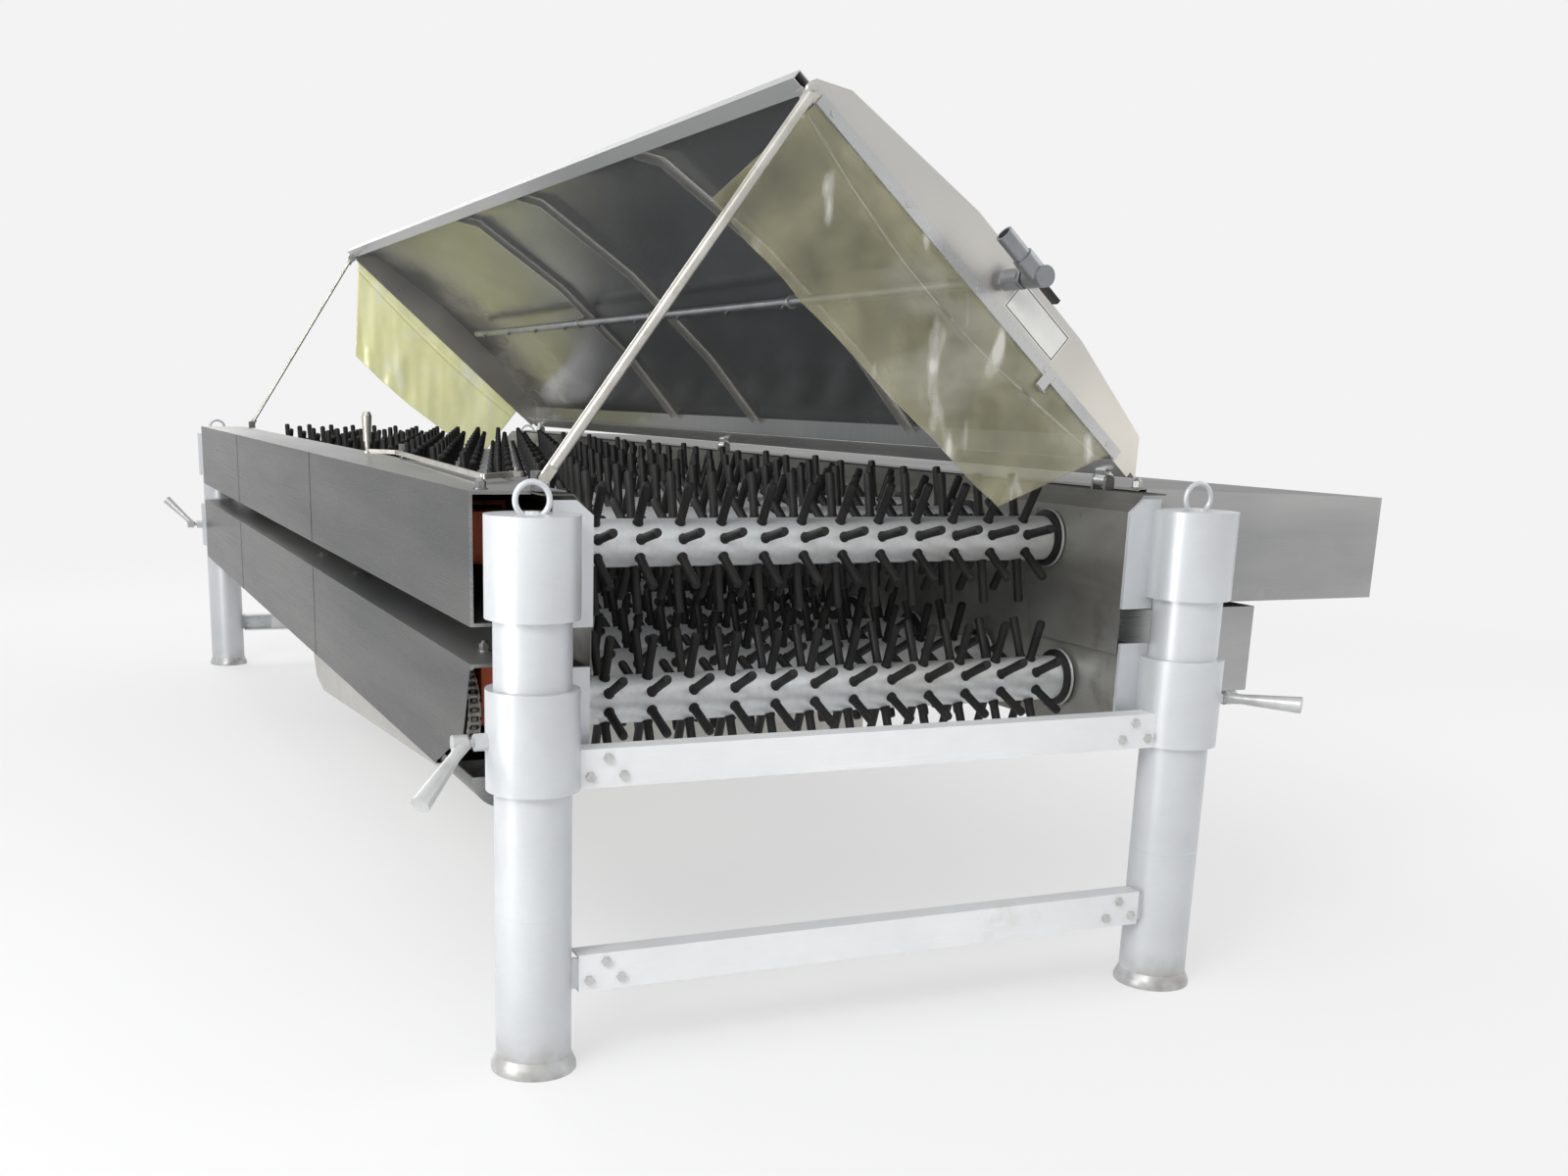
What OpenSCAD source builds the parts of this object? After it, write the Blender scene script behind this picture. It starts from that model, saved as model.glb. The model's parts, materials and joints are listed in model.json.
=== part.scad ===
// Roller poultry plucker on four posts, with its hood propped open
// Millimetres, +Z up, X across the rollers, Y along the machine, front at -Y
// The origin is on the floor in the middle of the four posts

/* [Posts] */
// Distance between the left and right post axes
post_span = 1600; // [1580:5:1700]
// Distance between the front and rear post axes
post_depth = 5400; // [5300:10:6200]
// Outer diameter of a leg tube
leg_d = 159; // [140:1:160]
// Wall of a leg tube
leg_wall = 6; // [4:0.5:10]
// Height of the top of a leg tube
leg_top = 1100; // [1040:5:1120]
// Diameter of the flared foot
foot_d = 180; // [170:1:260]
// Height of the flared foot
foot_h = 34; // [20:1:60]
// Height of the weld ring round a leg tube
weld_ring_z = 343; // [280:1:500]

/* [Sleeves] */
// Outer diameter of a sliding sleeve
sleeve_d = 192; // [180:1:196]
// Height of the lower end of an upper sleeve
upper_sleeve_z = 950; // [940:1:960]
// Length of an upper sleeve
upper_sleeve_h = 202; // [190:1:210]
// Height of the lower end of a lower sleeve
lower_sleeve_z = 604; // [596:1:612]
// Length of a lower sleeve
lower_sleeve_h = 206; // [190:1:220]
// Thickness of the cap that closes an upper sleeve
cap_t = 10; // [6:1:14]
// Diameter of a lifting ring at its wire centre
eye_d = 70; // [50:1:90]
// Wire diameter of a lifting ring
eye_wire = 12; // [8:1:16]

/* [Cross beams] */
// Height of a channel beam
beam_h = 81; // [70:1:90]
// Depth of a channel beam
beam_depth = 52; // [40:1:60]
// Wall of a channel beam
beam_t = 6; // [4:0.5:8]
// Distance from a post axis out to the face of its beam
beam_face = 36; // [32:1:40]
// Height of the underside of the base beams
base_beam_z = 166; // [120:1:220]
// Height of the underside of the frame beams
frame_beam_z = 604; // [600:1:620]
// Shank diameter of the beam bolts
bolt_d = 12; // [8:1:14]

/* [Frames] */
// Distance from the middle to the inner face of a lower side plate
wall_x = 662; // [655:1:672]
// Thickness of a side plate
plate_t = 3; // [2:0.5:4]
// Height of the underside of the lower frame
lower_z = 600; // [596:1:603]
// Height of the top of the lower frame
lower_top = 838; // [832:1:842]
// Height of the lower edge of the upper side plates
skirt_z = 812; // [800:1:830]
// Height of the underside of the upper chain case
upper_z = 915; // [905:1:925]
// Height of the top of the upper chain case
upper_top = 1188; // [1180:1:1196]
// Distance from a post axis back to the end of the cases
end_gap = 140; // [130:1:160]
// Distance from the rear end of the cases forward to the rear end of the hood
hood_short = 260; // [200:5:300]
// Distance from the middle to the outer face of the chain cases
case_x = 890; // [880:1:910]
// Sheet thickness of the cases
sheet_t = 2; // [1:0.5:3]
// Right edge of the upper motor housing
housing_x = 1500; // [1300:1:1550]
// Right edge of the lower right case
side_case_x = 1125; // [1000:1:1250]
// Height of the underside of the lower chain case
lower_case_z = 560; // [550:1:590]
// Height of the underside of the lower right case
side_case_z = 692; // [660:1:700]

/* [Rollers] */
// Rollers in each layer
roller_count = 13; // [12:1:13]
// Height of the upper roller axes
upper_axis_z = 1060; // [1058:1:1062]
// Height of the lower roller axes
lower_axis_z = 722; // [720:1:725]
// Distance from the front end of the cases to the first upper roller
upper_first = 230; // [220:1:240]
// Distance from the front end of the cases to the first lower roller
lower_first = 145; // [140:1:160]
// Outer diameter of a roller tube
tube_d = 108; // [100:1:112]
// Wall of a roller tube
tube_wall = 4; // [3:0.5:6]
// Diameter of a rubber finger
finger_d = 22; // [18:1:24]
// Length of a finger outside its tube
finger_len = 105; // [80:1:106]
// Fingers in one row along a roller
finger_count = 12; // [6:1:12]
// Distance between the fingers of a row
finger_pitch = 101; // [90:1:102]
// Shaft diameter of the rollers
shaft_d = 40; // [30:1:45]

/* [Chain drive] */
// Pitch of the roller chain
chain_pitch = 19.05; // [19:0.01:19.1]
// Teeth on each sprocket
tooth_count = 28; // [24:4:28]
// Distance from the middle to the plane of the chain
chain_x = 868; // [866:0.5:870]

/* [Hood] */
// Distance from the middle to the hinge axis
hinge_x = 715; // [712:1:730]
// Height of the hinge axis
hinge_z = 1208; // [1206:1:1216]
// Width of the hood from its hinge to its free edge
hood_w = 1185; // [1180:1:1188]
// Angle at which the hood stands open
hood_open = 41; // [35:1:45]
// Sheet thickness of the hood
hood_t = 2; // [1:0.5:3]
// Diameter of the front prop rod
prop_d = 24; // [16:1:24]
// Diameter of the rear stay
stay_d = 14; // [10:1:18]
// Distance from the middle to the foot of the prop rod
prop_foot_x = 745; // [720:1:780]
// Distance from the middle to the foot of the rear stay
stay_foot_x = 680; // [660:1:740]
// Diameter of the spray pipe
spray_d = 27; // [20:1:34]

/* [Feather pan] */
// Front end of the feather pan
pan_front = -1400; // [-1700:10:-1300]
// Rear end of the feather pan
pan_rear = 837; // [700:1:1200]
// Height of the pan floor at its front end
pan_front_z = 335; // [300:1:380]
// Height of the pan floor at its low point
pan_low_z = 215; // [190:1:260]

/* [Hidden] */
$fn = 48;
ends = [-1, 1];
post_x = post_span / 2;
post_y = post_depth / 2;
body_front = -post_y + end_gap;
body_rear = post_y - end_gap;
hood_rear = body_rear - hood_short;
upper_first_y = body_front + upper_first;
lower_first_y = body_front + lower_first;
// Whole chain pitches from one roller to the next that the cases have room for
pitches_between = floor((body_rear - body_front - 2 * upper_first - 100)
    / (roller_count - 1) / chain_pitch);
leg_r = leg_d / 2;
sleeve_r = sleeve_d / 2;
// Radial clearance of a sleeve on its leg tube
slide_gap = 0.5;
// Radial clearance of a pin or shaft in its bore
run_gap = 0.05;
// Gap between faces of parts that move past each other
face_gap = 0.5;
upper_wall_x = wall_x - 2 * plate_t;
upper_out_x = upper_wall_x + plate_t;
lower_out_x = wall_x + plate_t;
// Height of the top of the flange on the upper side plates
flange_z = upper_top - sheet_t;
// Height where the upper side plates bend outward
bend_z = upper_top - 43;
bend_in = 38;
flange_in = 104;
lower_flange = 38;
roller_pitch = pitches_between * chain_pitch;
pitch_r = chain_pitch / (2 * sin(180 / tooth_count));
chain_roller_r = 5.95;
chain_w = 27;
link_t = 3;
link_r = 9;
sprocket_t = 11;
finger_rows = 8;
// Gap between two solids of one piece that are welded or pressed together
seat_gap = 0.3;
// Width and height of the strip that a row of fingers stands on
strip_w = finger_d + 2;
strip_h = 1.2;
disc_t = 6;
disc_d = tube_d + 34;
upper_row_angle = 13;
lower_row_angle = -20;
tube_end_x = upper_wall_x - 4;
shaft_left_x = chain_x + 9;
shaft_right_x = 790;
hanger_x = 790;
hanger_t = 50;
bearing_w = 100;
hole_d = shaft_d + 20;
bracket_y = post_y - 64;
bracket_t = 10;
bracket_low_z = 675;
clamp_z = 706;
clamp_d = 16;
clamp_len = 180;
clamp_tilt = 50;
pan_x = wall_x - 1 + plate_t;
hinge_places = [body_front + 110, (body_front + hood_rear) / 2, hood_rear - 110];
knuckle_w = 40;
ear_t = 8;
hinge_pin_d = 14;
hood_profile = [[0, 0], [0, 0.032], [0.061, 0.068], [0.385, 0.109], [0.716, 0.106],
                [0.949, 0.074], [1, 0.012]];
hood_points = [for (q = hood_profile) [(q[0] - 1) * hood_w, q[1] * hood_w]];
rib_shares = [0.22, 0.445, 0.605];
rib_places = [for (s = rib_shares) body_front + s * (hood_rear - body_front)];
channel_w = 38;
channel_h = 22;
spray_u = 0.493 * hood_w;
spray_v = 71;
spray_front = body_front - 140;
spray_rear = hood_rear - 380;
valve_y = body_front - 55;
stem_d = 12;
latch_x = 680;
latch_y = body_front + 385;
sump_d = 136;
sump_len = 320;
bar_w = 26;
bar_t = 6;
rod_gap = 40;
front_rod_y = body_front - rod_gap;
rear_rod_y = hood_rear + rod_gap;
pivot_d = 12;
strut_t = 12;
free_x = hinge_x - hood_w * cos(hood_open);
free_z = hinge_z + hood_w * sin(hood_open);
prop_foot_z = upper_top + 27;
stay_foot_z = upper_top + 14;
post_places = [for (sx = ends) for (sy = ends) [sx, sy]];

// Left-hand normal of the step from a to b
function normal(a, b) = let (d = (b - a) / norm(b - a)) [-d[1], d[0]];
// Shift of point i of line p that moves every step sideways by t
function shift(p, i, t) =
    i == 0 ? t * normal(p[0], p[1])
    : i == len(p) - 1 ? t * normal(p[i - 1], p[i])
    : let (m = normal(p[i - 1], p[i]), n = normal(p[i], p[i + 1])) t * (m + n) / (1 + m * n);
// Outline of a folded sheet of thickness t that follows line p
function sheet(p, t) = concat(p, [for (i = [len(p) - 1:-1:0]) p[i] + shift(p, i, t)]);

// Extrusion along Y of an outline drawn in X and Z
module along_y(y0, y1) {
    translate([0, y1, 0]) rotate([90, 0, 0]) linear_extrude(y1 - y0) children();
}
// Extrusion along X of an outline drawn in Y and Z
module along_x(x0, x1) {
    translate([x0, 0, 0]) rotate([90, 0, 90]) linear_extrude(x1 - x0) children();
}
module rod_x(x0, x1, d) {
    translate([x0, 0, 0]) rotate([0, 90, 0]) cylinder(h = x1 - x0, d = d);
}
module rod_y(y0, y1, d) {
    translate([0, y1, 0]) rotate([90, 0, 0]) cylinder(h = y1 - y0, d = d);
}
// Children repeated at the four posts
module at_posts() {
    for (s = post_places) translate([s[0] * post_x, s[1] * post_y, 0]) children();
}
// Children mirrored to the side of the machine that sx and sy name
module on_side(sx, sy = 1) {
    mirror([sx < 0 ? 1 : 0, 0, 0]) mirror([0, sy < 0 ? 1 : 0, 0]) children();
}
// Children placed in the hood's own axes: x = 0 at the hinge, z out of the shell
module on_hood() {
    translate([hinge_x, 0, hinge_z]) rotate([0, hood_open, 0]) children();
}

// Bolt places of a beam end, measured from the post axis and the beam's underside
bolt_places = [[148, 0.77 * beam_h], [110, 0.3 * beam_h], [182, 0.3 * beam_h]];
module beam_bolt_places(z) {
    for (s = post_places) for (b = bolt_places)
        translate([s[0] * (post_x - b[0]), s[1] * (post_y + beam_face), z + b[1]])
            rotate([0, 0, s[1] < 0 ? 0 : 180]) children();
}
module beam(z, tube_r) {
    channel = [[-beam_face, z], [-beam_face, z + beam_h], [beam_depth - beam_face, z + beam_h],
        [beam_depth - beam_face, z + beam_h - beam_t], [beam_t - beam_face, z + beam_h - beam_t],
        [beam_t - beam_face, z + beam_t], [beam_depth - beam_face, z + beam_t],
        [beam_depth - beam_face, z]];
    for (sy = ends) difference() {
        on_side(1, -sy) translate([0, -post_y, 0])
            along_x(-post_x + sleeve_r - 8, post_x - sleeve_r + 8) polygon(channel);
        for (sx = ends) translate([sx * post_x, sy * post_y, z - 1])
            cylinder(h = beam_h + 2, r = tube_r);
        beam_bolt_places(z) rod_y(-1, beam_t + 1, bolt_d);
    }
}
// Welded lugs that a beam's ends are bolted to
module lugs(z, tube_r) {
    for (s = post_places) difference() {
        translate([s[0] * (post_x - 130), s[1] * (post_y + beam_face - beam_t - beam_t / 2),
            z + beam_h / 2]) cube([180, beam_t, beam_h - 2 * beam_t - 2], center = true);
        translate([s[0] * post_x, s[1] * post_y, z - 1]) cylinder(h = beam_h + 2, r = tube_r);
        beam_bolt_places(z) rod_y(-1, 2 * beam_t + 1, bolt_d);
    }
}
module beam_bolts(z) {
    beam_bolt_places(z) {
        rod_y(-1, 2 * beam_t + 14, bolt_d);
        translate([0, 0, 0]) rotate([90, 0, 0]) cylinder(h = 7.5, d = 1.8 * bolt_d, $fn = 6);
        translate([0, 2 * beam_t + 10, 0]) rotate([90, 0, 0])
            cylinder(h = 10, d = 1.8 * bolt_d, $fn = 6);
    }
}

// Four leg tubes with flared feet, a weld ring and beam lugs
module leg_posts() color("silver") {
    at_posts() rotate_extrude() polygon([[0, 0], [foot_d / 2, 0],
        [foot_d / 2, 0.3 * foot_h], [leg_r, foot_h], [0, foot_h]]);
    at_posts() translate([0, 0, foot_h + seat_gap]) difference() {
        cylinder(h = leg_top - foot_h - seat_gap, r = leg_r);
        translate([0, 0, -1]) cylinder(h = leg_top, r = leg_r - leg_wall);
    }
    at_posts() translate([0, 0, weld_ring_z]) rotate_extrude()
        polygon([[leg_r - 1, -3], [leg_r + 0.4, -1.5], [leg_r + 0.4, 1.5], [leg_r - 1, 3]]);
    lugs(base_beam_z, leg_r - 0.5);
}
module base_beams() color("gainsboro") beam(base_beam_z, leg_r + face_gap);
module base_bolts() color("lightgray") beam_bolts(base_beam_z);

// A sleeve that slides on its leg tube
module sleeve(z, h) {
    translate([0, 0, z]) difference() {
        cylinder(h = h, r = sleeve_r);
        translate([0, 0, -1]) cylinder(h = h + 2, r = leg_r + slide_gap);
    }
}
// White front and rear brackets that join the sleeves to the side plates
module brackets(x0, z0, z1, chamfer) {
    plate = [[x0, z0], [x0, z1 - chamfer], [x0 + 1.2 * chamfer, z1], [post_x - 60, z1],
        [post_x - 60, z0]];
    for (s = post_places) difference() {
        on_side(s[0], s[1]) along_y(bracket_y, bracket_y + bracket_t) polygon(plate);
        translate([s[0] * post_x, s[1] * post_y, z0 - 1])
            cylinder(h = z1 - z0 + 2, r = leg_r + slide_gap);
    }
}
module lower_sleeves() color("silver") {
    difference() {
        union() {
            at_posts() sleeve(lower_sleeve_z, lower_sleeve_h);
            for (s = post_places) translate([s[0] * (post_x + sleeve_r - 2), s[1] * post_y, clamp_z])
                rotate([0, s[0] * 90, 0]) cylinder(h = 28, d = 36, $fn = 6);
        }
        for (s = post_places) translate([s[0] * post_x, s[1] * post_y, clamp_z])
            rotate([0, s[0] * 90, 0]) cylinder(h = sleeve_d, d = clamp_d + 2 * run_gap);
    }
    lugs(frame_beam_z, sleeve_r - 0.5);
    brackets(wall_x, bracket_low_z, lower_top, 0.1);
}
module frame_beams() color("gainsboro") beam(frame_beam_z, sleeve_r);
module frame_bolts() color("lightgray") beam_bolts(frame_beam_z);

// Holes for the roller shafts in a pair of side plates
module shaft_holes(first_y, z) {
    for (k = [0:roller_count - 1]) translate([0, first_y + k * roller_pitch, z])
        rod_x(-wall_x - 20, wall_x + 20, hole_d);
}
module rivets(x, z, first_y) {
    for (sx = ends) for (k = [0:2 * roller_count - 1])
        translate([sx * x, first_y - 120 + k * roller_pitch / 2, z])
            rotate([0, -sx * 90, 0]) cylinder(h = 1.5, d = 9);
}
module lower_side_plates() color("silver") {
    rim_z = lower_top - sheet_t;
    difference() {
        for (sx = ends) on_side(sx) translate([wall_x, -bracket_y, lower_z])
            cube([plate_t, 2 * bracket_y, rim_z - lower_z]);
        shaft_holes(lower_first_y, lower_axis_z);
    }
    // Welded flanges that the bearings hang from
    for (sx = ends) on_side(sx)
        translate([lower_out_x + seat_gap, -bracket_y, rim_z - plate_t])
            cube([lower_flange - plate_t - seat_gap, 2 * bracket_y, plate_t]);
    rivets(wall_x, 640, lower_first_y);
}
// Left case over the chain of one layer, open at its front end: the sheet follows wrap,
// and its rear plate and front lip leave room for a flange that reaches out to x_flange
module chain_case(wrap, z0, z1, x_flange, under) {
    along_y(body_front, body_rear - sheet_t - seat_gap) polygon(sheet(wrap, -sheet_t));
    along_y(body_front, body_front + 14) polygon(sheet(
        [[-case_x + 60, z0], [-case_x, z0], [-case_x, z1], [-x_flange - 1, z1]], -7));
    along_y(body_rear - sheet_t, body_rear)
        polygon(concat([[-case_x, z0], [-case_x, z1], [-x_flange - 1, z1],
            [-x_flange - 1, z1 - sheet_t - plate_t - 1]], under));
    for (y = [1940, 3740]) translate([-case_x - 1.2, body_front + y, z0])
        cube([2, 26, z1 - z0]);
}
// Domed nut on a washer
module acorn_nut(d) {
    cylinder(h = 3, d = 1.5 * d);
    cylinder(h = 0.8 * d, d = 1.2 * d, $fn = 6);
    translate([0, 0, 0.75 * d]) cylinder(h = 0.4 * d, d1 = d, d2 = 0.45 * d);
}
module lower_chain_case() color("darkgray") {
    x_in = lower_out_x;
    front = body_front;
    rest = lower_top - sheet_t - plate_t - 1;
    difference() {
        chain_case([[-x_in, lower_z + 40], [-x_in, lower_case_z], [-case_x, lower_case_z],
            [-case_x, lower_top], [-x_in - 3, lower_top]], lower_case_z, lower_top,
            wall_x + lower_flange, [[-x_in - sheet_t - 1, rest],
            [-x_in - sheet_t - 1, lower_case_z]]);
        // Lower front corner, cut back in a curve
        along_x(-case_x - 5, -x_in + 5) polygon([[front - 1, lower_top - 10],
            [front + 12, lower_top - 10], [front + 75, lower_case_z + 116],
            [front + 153, lower_case_z + 79], [front + sump_len, lower_case_z + 7],
            [front + sump_len, lower_case_z - 1], [front - 1, lower_case_z - 1]]);
    }
    translate([-815, front + 170, lower_top]) acorn_nut(20);
    for (y = [1630, 2220]) translate([-800, front + y, lower_top]) {
        translate([-15, 0, 0]) cube([30, 90, 4]);
        translate([-9, 20, 0]) cube([18, 40, 12]);
    }
    // Rounded oil trough under the front sprocket, open at the top
    translate([-case_x + sheet_t + sump_d / 2, 0, lower_case_z + 38]) difference() {
        rod_y(front + 8, front + sump_len + 10, sump_d);
        rod_y(front + 12, front + sump_len + 6, sump_d - 8);
        translate([-sump_d, front, 0]) cube([2 * sump_d, sump_len + 20, sump_d]);
        translate([-sump_d, front + sump_len, sheet_t - 38])
            cube([2 * sump_d, 20, sump_d]);
    }
}
// Right cover of the lower frame, open below: a side, a top and an inner sheet welded
// along their edges, and two end plates
module lower_right_case() color("darkgray") {
    top_z = upper_z - 10;
    x_flange = wall_x + lower_flange + 1;
    weld = sheet_t + seat_gap;
    sheets = [[[side_case_x, side_case_z], [side_case_x, top_z]],
        [[side_case_x - weld, top_z], [lower_out_x, top_z]],
        [[lower_out_x, top_z - weld], [lower_out_x, lower_top]]];
    for (line = sheets)
        along_y(body_front + weld, body_rear - weld) polygon(sheet(line, sheet_t));
    for (y = [body_front, body_rear - sheet_t]) along_y(y, y + sheet_t)
        polygon([[lower_out_x, side_case_z], [side_case_x, side_case_z], [side_case_x, top_z],
            [x_flange, top_z], [x_flange, lower_top - 10], [lower_out_x, lower_top - 10]]);
}

// Bearing blocks of one layer: hung on the left, flanged on the right
module bearings(first_y, z, left_x, right_x, top_z) color("orangered") {
    for (k = [0:roller_count - 1]) translate([0, first_y + k * roller_pitch, z]) difference() {
        union() {
            rod_x(-hanger_x - hanger_t, -hanger_x, 84);
            translate([-hanger_x - hanger_t, -42, 0]) cube([hanger_t, 84, top_z - z]);
            translate([-hanger_x - 1, -42, top_z - z - 10]) cube([hanger_x - left_x + 1, 84, 10]);
            translate([-left_x - 8, -42, top_z - z - 70]) cube([8, 84, 70]);
            translate([right_x, -bearing_w / 2, -bearing_w / 2]) cube([14, bearing_w, bearing_w]);
            rod_x(right_x + 13, right_x + 36, 72);
        }
        rod_x(-case_x, 900, shaft_d + 2 * run_gap);
    }
}
module lower_bearings() bearings(lower_first_y, lower_axis_z, lower_out_x, lower_out_x,
    lower_top - sheet_t - plate_t);
module upper_bearings() bearings(upper_first_y, upper_axis_z, upper_out_x, upper_out_x,
    flange_z - plate_t - 50);

// Chain round the sprockets of one layer: link plates all round, with rollers at the front
// that stop short of the sprocket's sides
module chain(first_y, z) color("dimgray") {
    span = (roller_count - 1) * roller_pitch;
    translate([-chain_x, first_y, z]) {
        for (sx = ends) translate([sx * (chain_w / 2 - link_t), 0, 0])
            on_side(sx) along_x(0, link_t) difference() {
                race(pitch_r + link_r, span);
                race(pitch_r - link_r, span);
            }
        turn = 360 / tooth_count;
        for (k = [-tooth_count / 4 - 6:tooth_count / 4 + 6]) {
            over = max(0, abs(k) - tooth_count / 4);
            a = 180 + (k - sign(k) * over) * turn;
            translate([0, cos(a) * pitch_r + over * chain_pitch, -sin(a) * pitch_r])
                for (sx = ends) on_side(sx)
                    rod_x(sprocket_t / 2 + face_gap, chain_w / 2 - link_t + 1, 2 * chain_roller_r);
        }
    }
}
// Outline of a belt round two equal circles
module race(r, span) {
    circle(r = r);
    translate([span, 0]) circle(r = r);
    translate([0, -r]) square([span, 2 * r]);
}
module lower_chain() chain(lower_first_y, lower_axis_z);
module upper_chain() chain(upper_first_y, upper_axis_z);

// Gear motor on a roller's right shaft end, with its motor axis raised by rise
module gear_motor(y, z, x0, rise, motor_d) color("steelblue") {
    translate([0, y, z]) difference() {
        union() {
            translate([x0, -70, -42]) cube([95, 140, 84 + rise]);
            translate([0, 0, rise]) {
                rod_x(x0 + 90, x0 + 120, motor_d + 10);
                rod_x(x0 + 119, x0 + 320, motor_d);
                rod_x(x0 + 319, x0 + 370, motor_d - 16);
            }
        }
        rod_x(x0 - 1, x0 + 94, shaft_d + 2 * run_gap);
    }
}
module upper_motor() gear_motor(upper_first_y + 6 * roller_pitch, upper_axis_z,
    upper_out_x + 36, 0, 200);
module lower_motor() gear_motor(lower_first_y + 6 * roller_pitch, lower_axis_z,
    lower_out_x + 36, 75, 140);

// Feather and water pan under the lower rollers, with a sloping floor
module feather_pan() color("beige") {
    low = pan_rear - 208;
    end_wall_z = lower_axis_z - tube_d / 2 - finger_len - 8;
    side = [[pan_front, lower_z], [pan_front, pan_front_z], [low, pan_low_z],
        [pan_rear - 55, pan_low_z + 34], [pan_rear, pan_low_z + 110], [pan_rear, lower_z]];
    difference() {
        along_x(-pan_x, pan_x) polygon(side);
        along_x(-pan_x + 3, pan_x - 3) polygon(concat(
            [for (i = [0:len(side) - 1]) side[i] + shift(side, i, 3)]));
        // The end walls stay below the fingers
        translate([-pan_x + 3, pan_front - 1, end_wall_z])
            cube([2 * pan_x - 6, pan_rear - pan_front + 2, lower_z]);
    }
}

module upper_sleeves() color("silver") {
    top_z = upper_sleeve_z + upper_sleeve_h;
    at_posts() {
        sleeve(upper_sleeve_z, upper_sleeve_h);
        translate([0, 0, top_z - cap_t]) cylinder(h = cap_t, r = leg_r + 2);
        translate([0, 0, top_z - 1]) cylinder(h = 7, d1 = 34, d2 = 24);
        intersection() {
            translate([0, 0, top_z + eye_d / 2 - 8]) rotate([90, 0, 0])
                rotate_extrude() translate([eye_d / 2, 0]) circle(d = eye_wire);
            translate([-100, -100, top_z]) cube([200, 200, 200]);
        }
    }
    brackets(upper_wall_x, upper_sleeve_z - 30, bend_z + 30, 30);
}
module upper_side_plates() color("silver") {
    line = [[upper_wall_x, skirt_z], [upper_wall_x, bend_z],
        [upper_wall_x + bend_in, flange_z], [upper_wall_x + flange_in, flange_z]];
    difference() {
        for (sx = ends) on_side(sx) along_y(-bracket_y, bracket_y)
            polygon(sheet(line, -plate_t));
        shaft_holes(upper_first_y, upper_axis_z);
    }
    rivets(upper_wall_x, 940, upper_first_y);
    rivets(upper_wall_x, 1125, upper_first_y);
    // Hinge ears and pins that carry the hood
    for (y = hinge_places) {
        for (sy = ends) translate([hinge_x, y + sy * (knuckle_w / 2 + face_gap + ear_t / 2), 0])
            along_y(-ear_t / 2, ear_t / 2) {
                translate([0, hinge_z]) circle(d = 26);
                translate([-13, flange_z - 1]) square([26, hinge_z - flange_z + 1]);
            }
        translate([hinge_x, y, hinge_z])
            rod_y(-knuckle_w / 2 - ear_t, knuckle_w / 2 + ear_t, hinge_pin_d);
    }
}
// Points under the bent top of an upper side plate, on the right side
under_bend = [[upper_wall_x + flange_in + 1, flange_z - plate_t - 2],
    [upper_out_x + bend_in, flange_z - plate_t - 7], [upper_out_x, bend_z - 9]];
module upper_chain_case() color("darkgray") {
    chain_case([[-upper_out_x, upper_z], [-case_x, upper_z], [-case_x, upper_top],
        [-upper_wall_x - 30, upper_top]], upper_z, upper_top, upper_wall_x + flange_in,
        concat([for (q = under_bend) [-q[0], q[1]]], [[-upper_out_x, upper_z]]));
    translate([-850, body_front + 60, upper_top]) acorn_nut(20);
    // Cleats that the feet of the prop rod and of the rear stay stand against
    prop_reach = rod_gap - max(prop_d, strut_t) / 2 - face_gap;
    stay_reach = rod_gap - max(stay_d, strut_t) / 2 - face_gap;
    translate([-prop_foot_x - 15, body_front - prop_reach, upper_top + seat_gap])
        cube([30, prop_reach + 8, 40]);
    translate([-stay_foot_x - 14, hood_rear + stay_reach - 20, upper_top + seat_gap])
        cube([28, 20, 30]);
    // Block and pin that the latch lever turns on, and its stop
    translate([-latch_x - 20, latch_y - 20, upper_top]) cube([40, 40, 8]);
    translate([-latch_x, latch_y, upper_top]) cylinder(h = 30, d = 12);
    translate([-latch_x - 4, latch_y + 1165, upper_top]) {
        cylinder(h = 30, d = 12);
        translate([0, 0, 22]) cylinder(h = 18, d = 22, $fn = 6);
    }
}
// Wide cover over the drive on the right, open below
module motor_housing() color("darkgray") {
    top_in = upper_wall_x + bend_in + 40;
    roof = [[housing_x, upper_top - 16], [hinge_x + 32, upper_top + 6]];
    line = concat([[housing_x, upper_z + 3]], roof, [[top_in, upper_top + 1]]);
    x_flange = under_bend[0][0];
    plate_gap = sheet_t + seat_gap;
    along_y(body_front + plate_gap, body_rear - plate_gap) polygon(sheet(line, sheet_t));
    for (y = [body_front, body_rear - sheet_t]) along_y(y, y + sheet_t)
        polygon(concat([[upper_out_x, upper_z + 3], [housing_x, upper_z + 3]], [roof[0]],
            [[x_flange, roof[1][1] - 0.3]], under_bend));
    translate([hinge_x + 50, body_front + 40, upper_top + 4]) acorn_nut(22);
}

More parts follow.
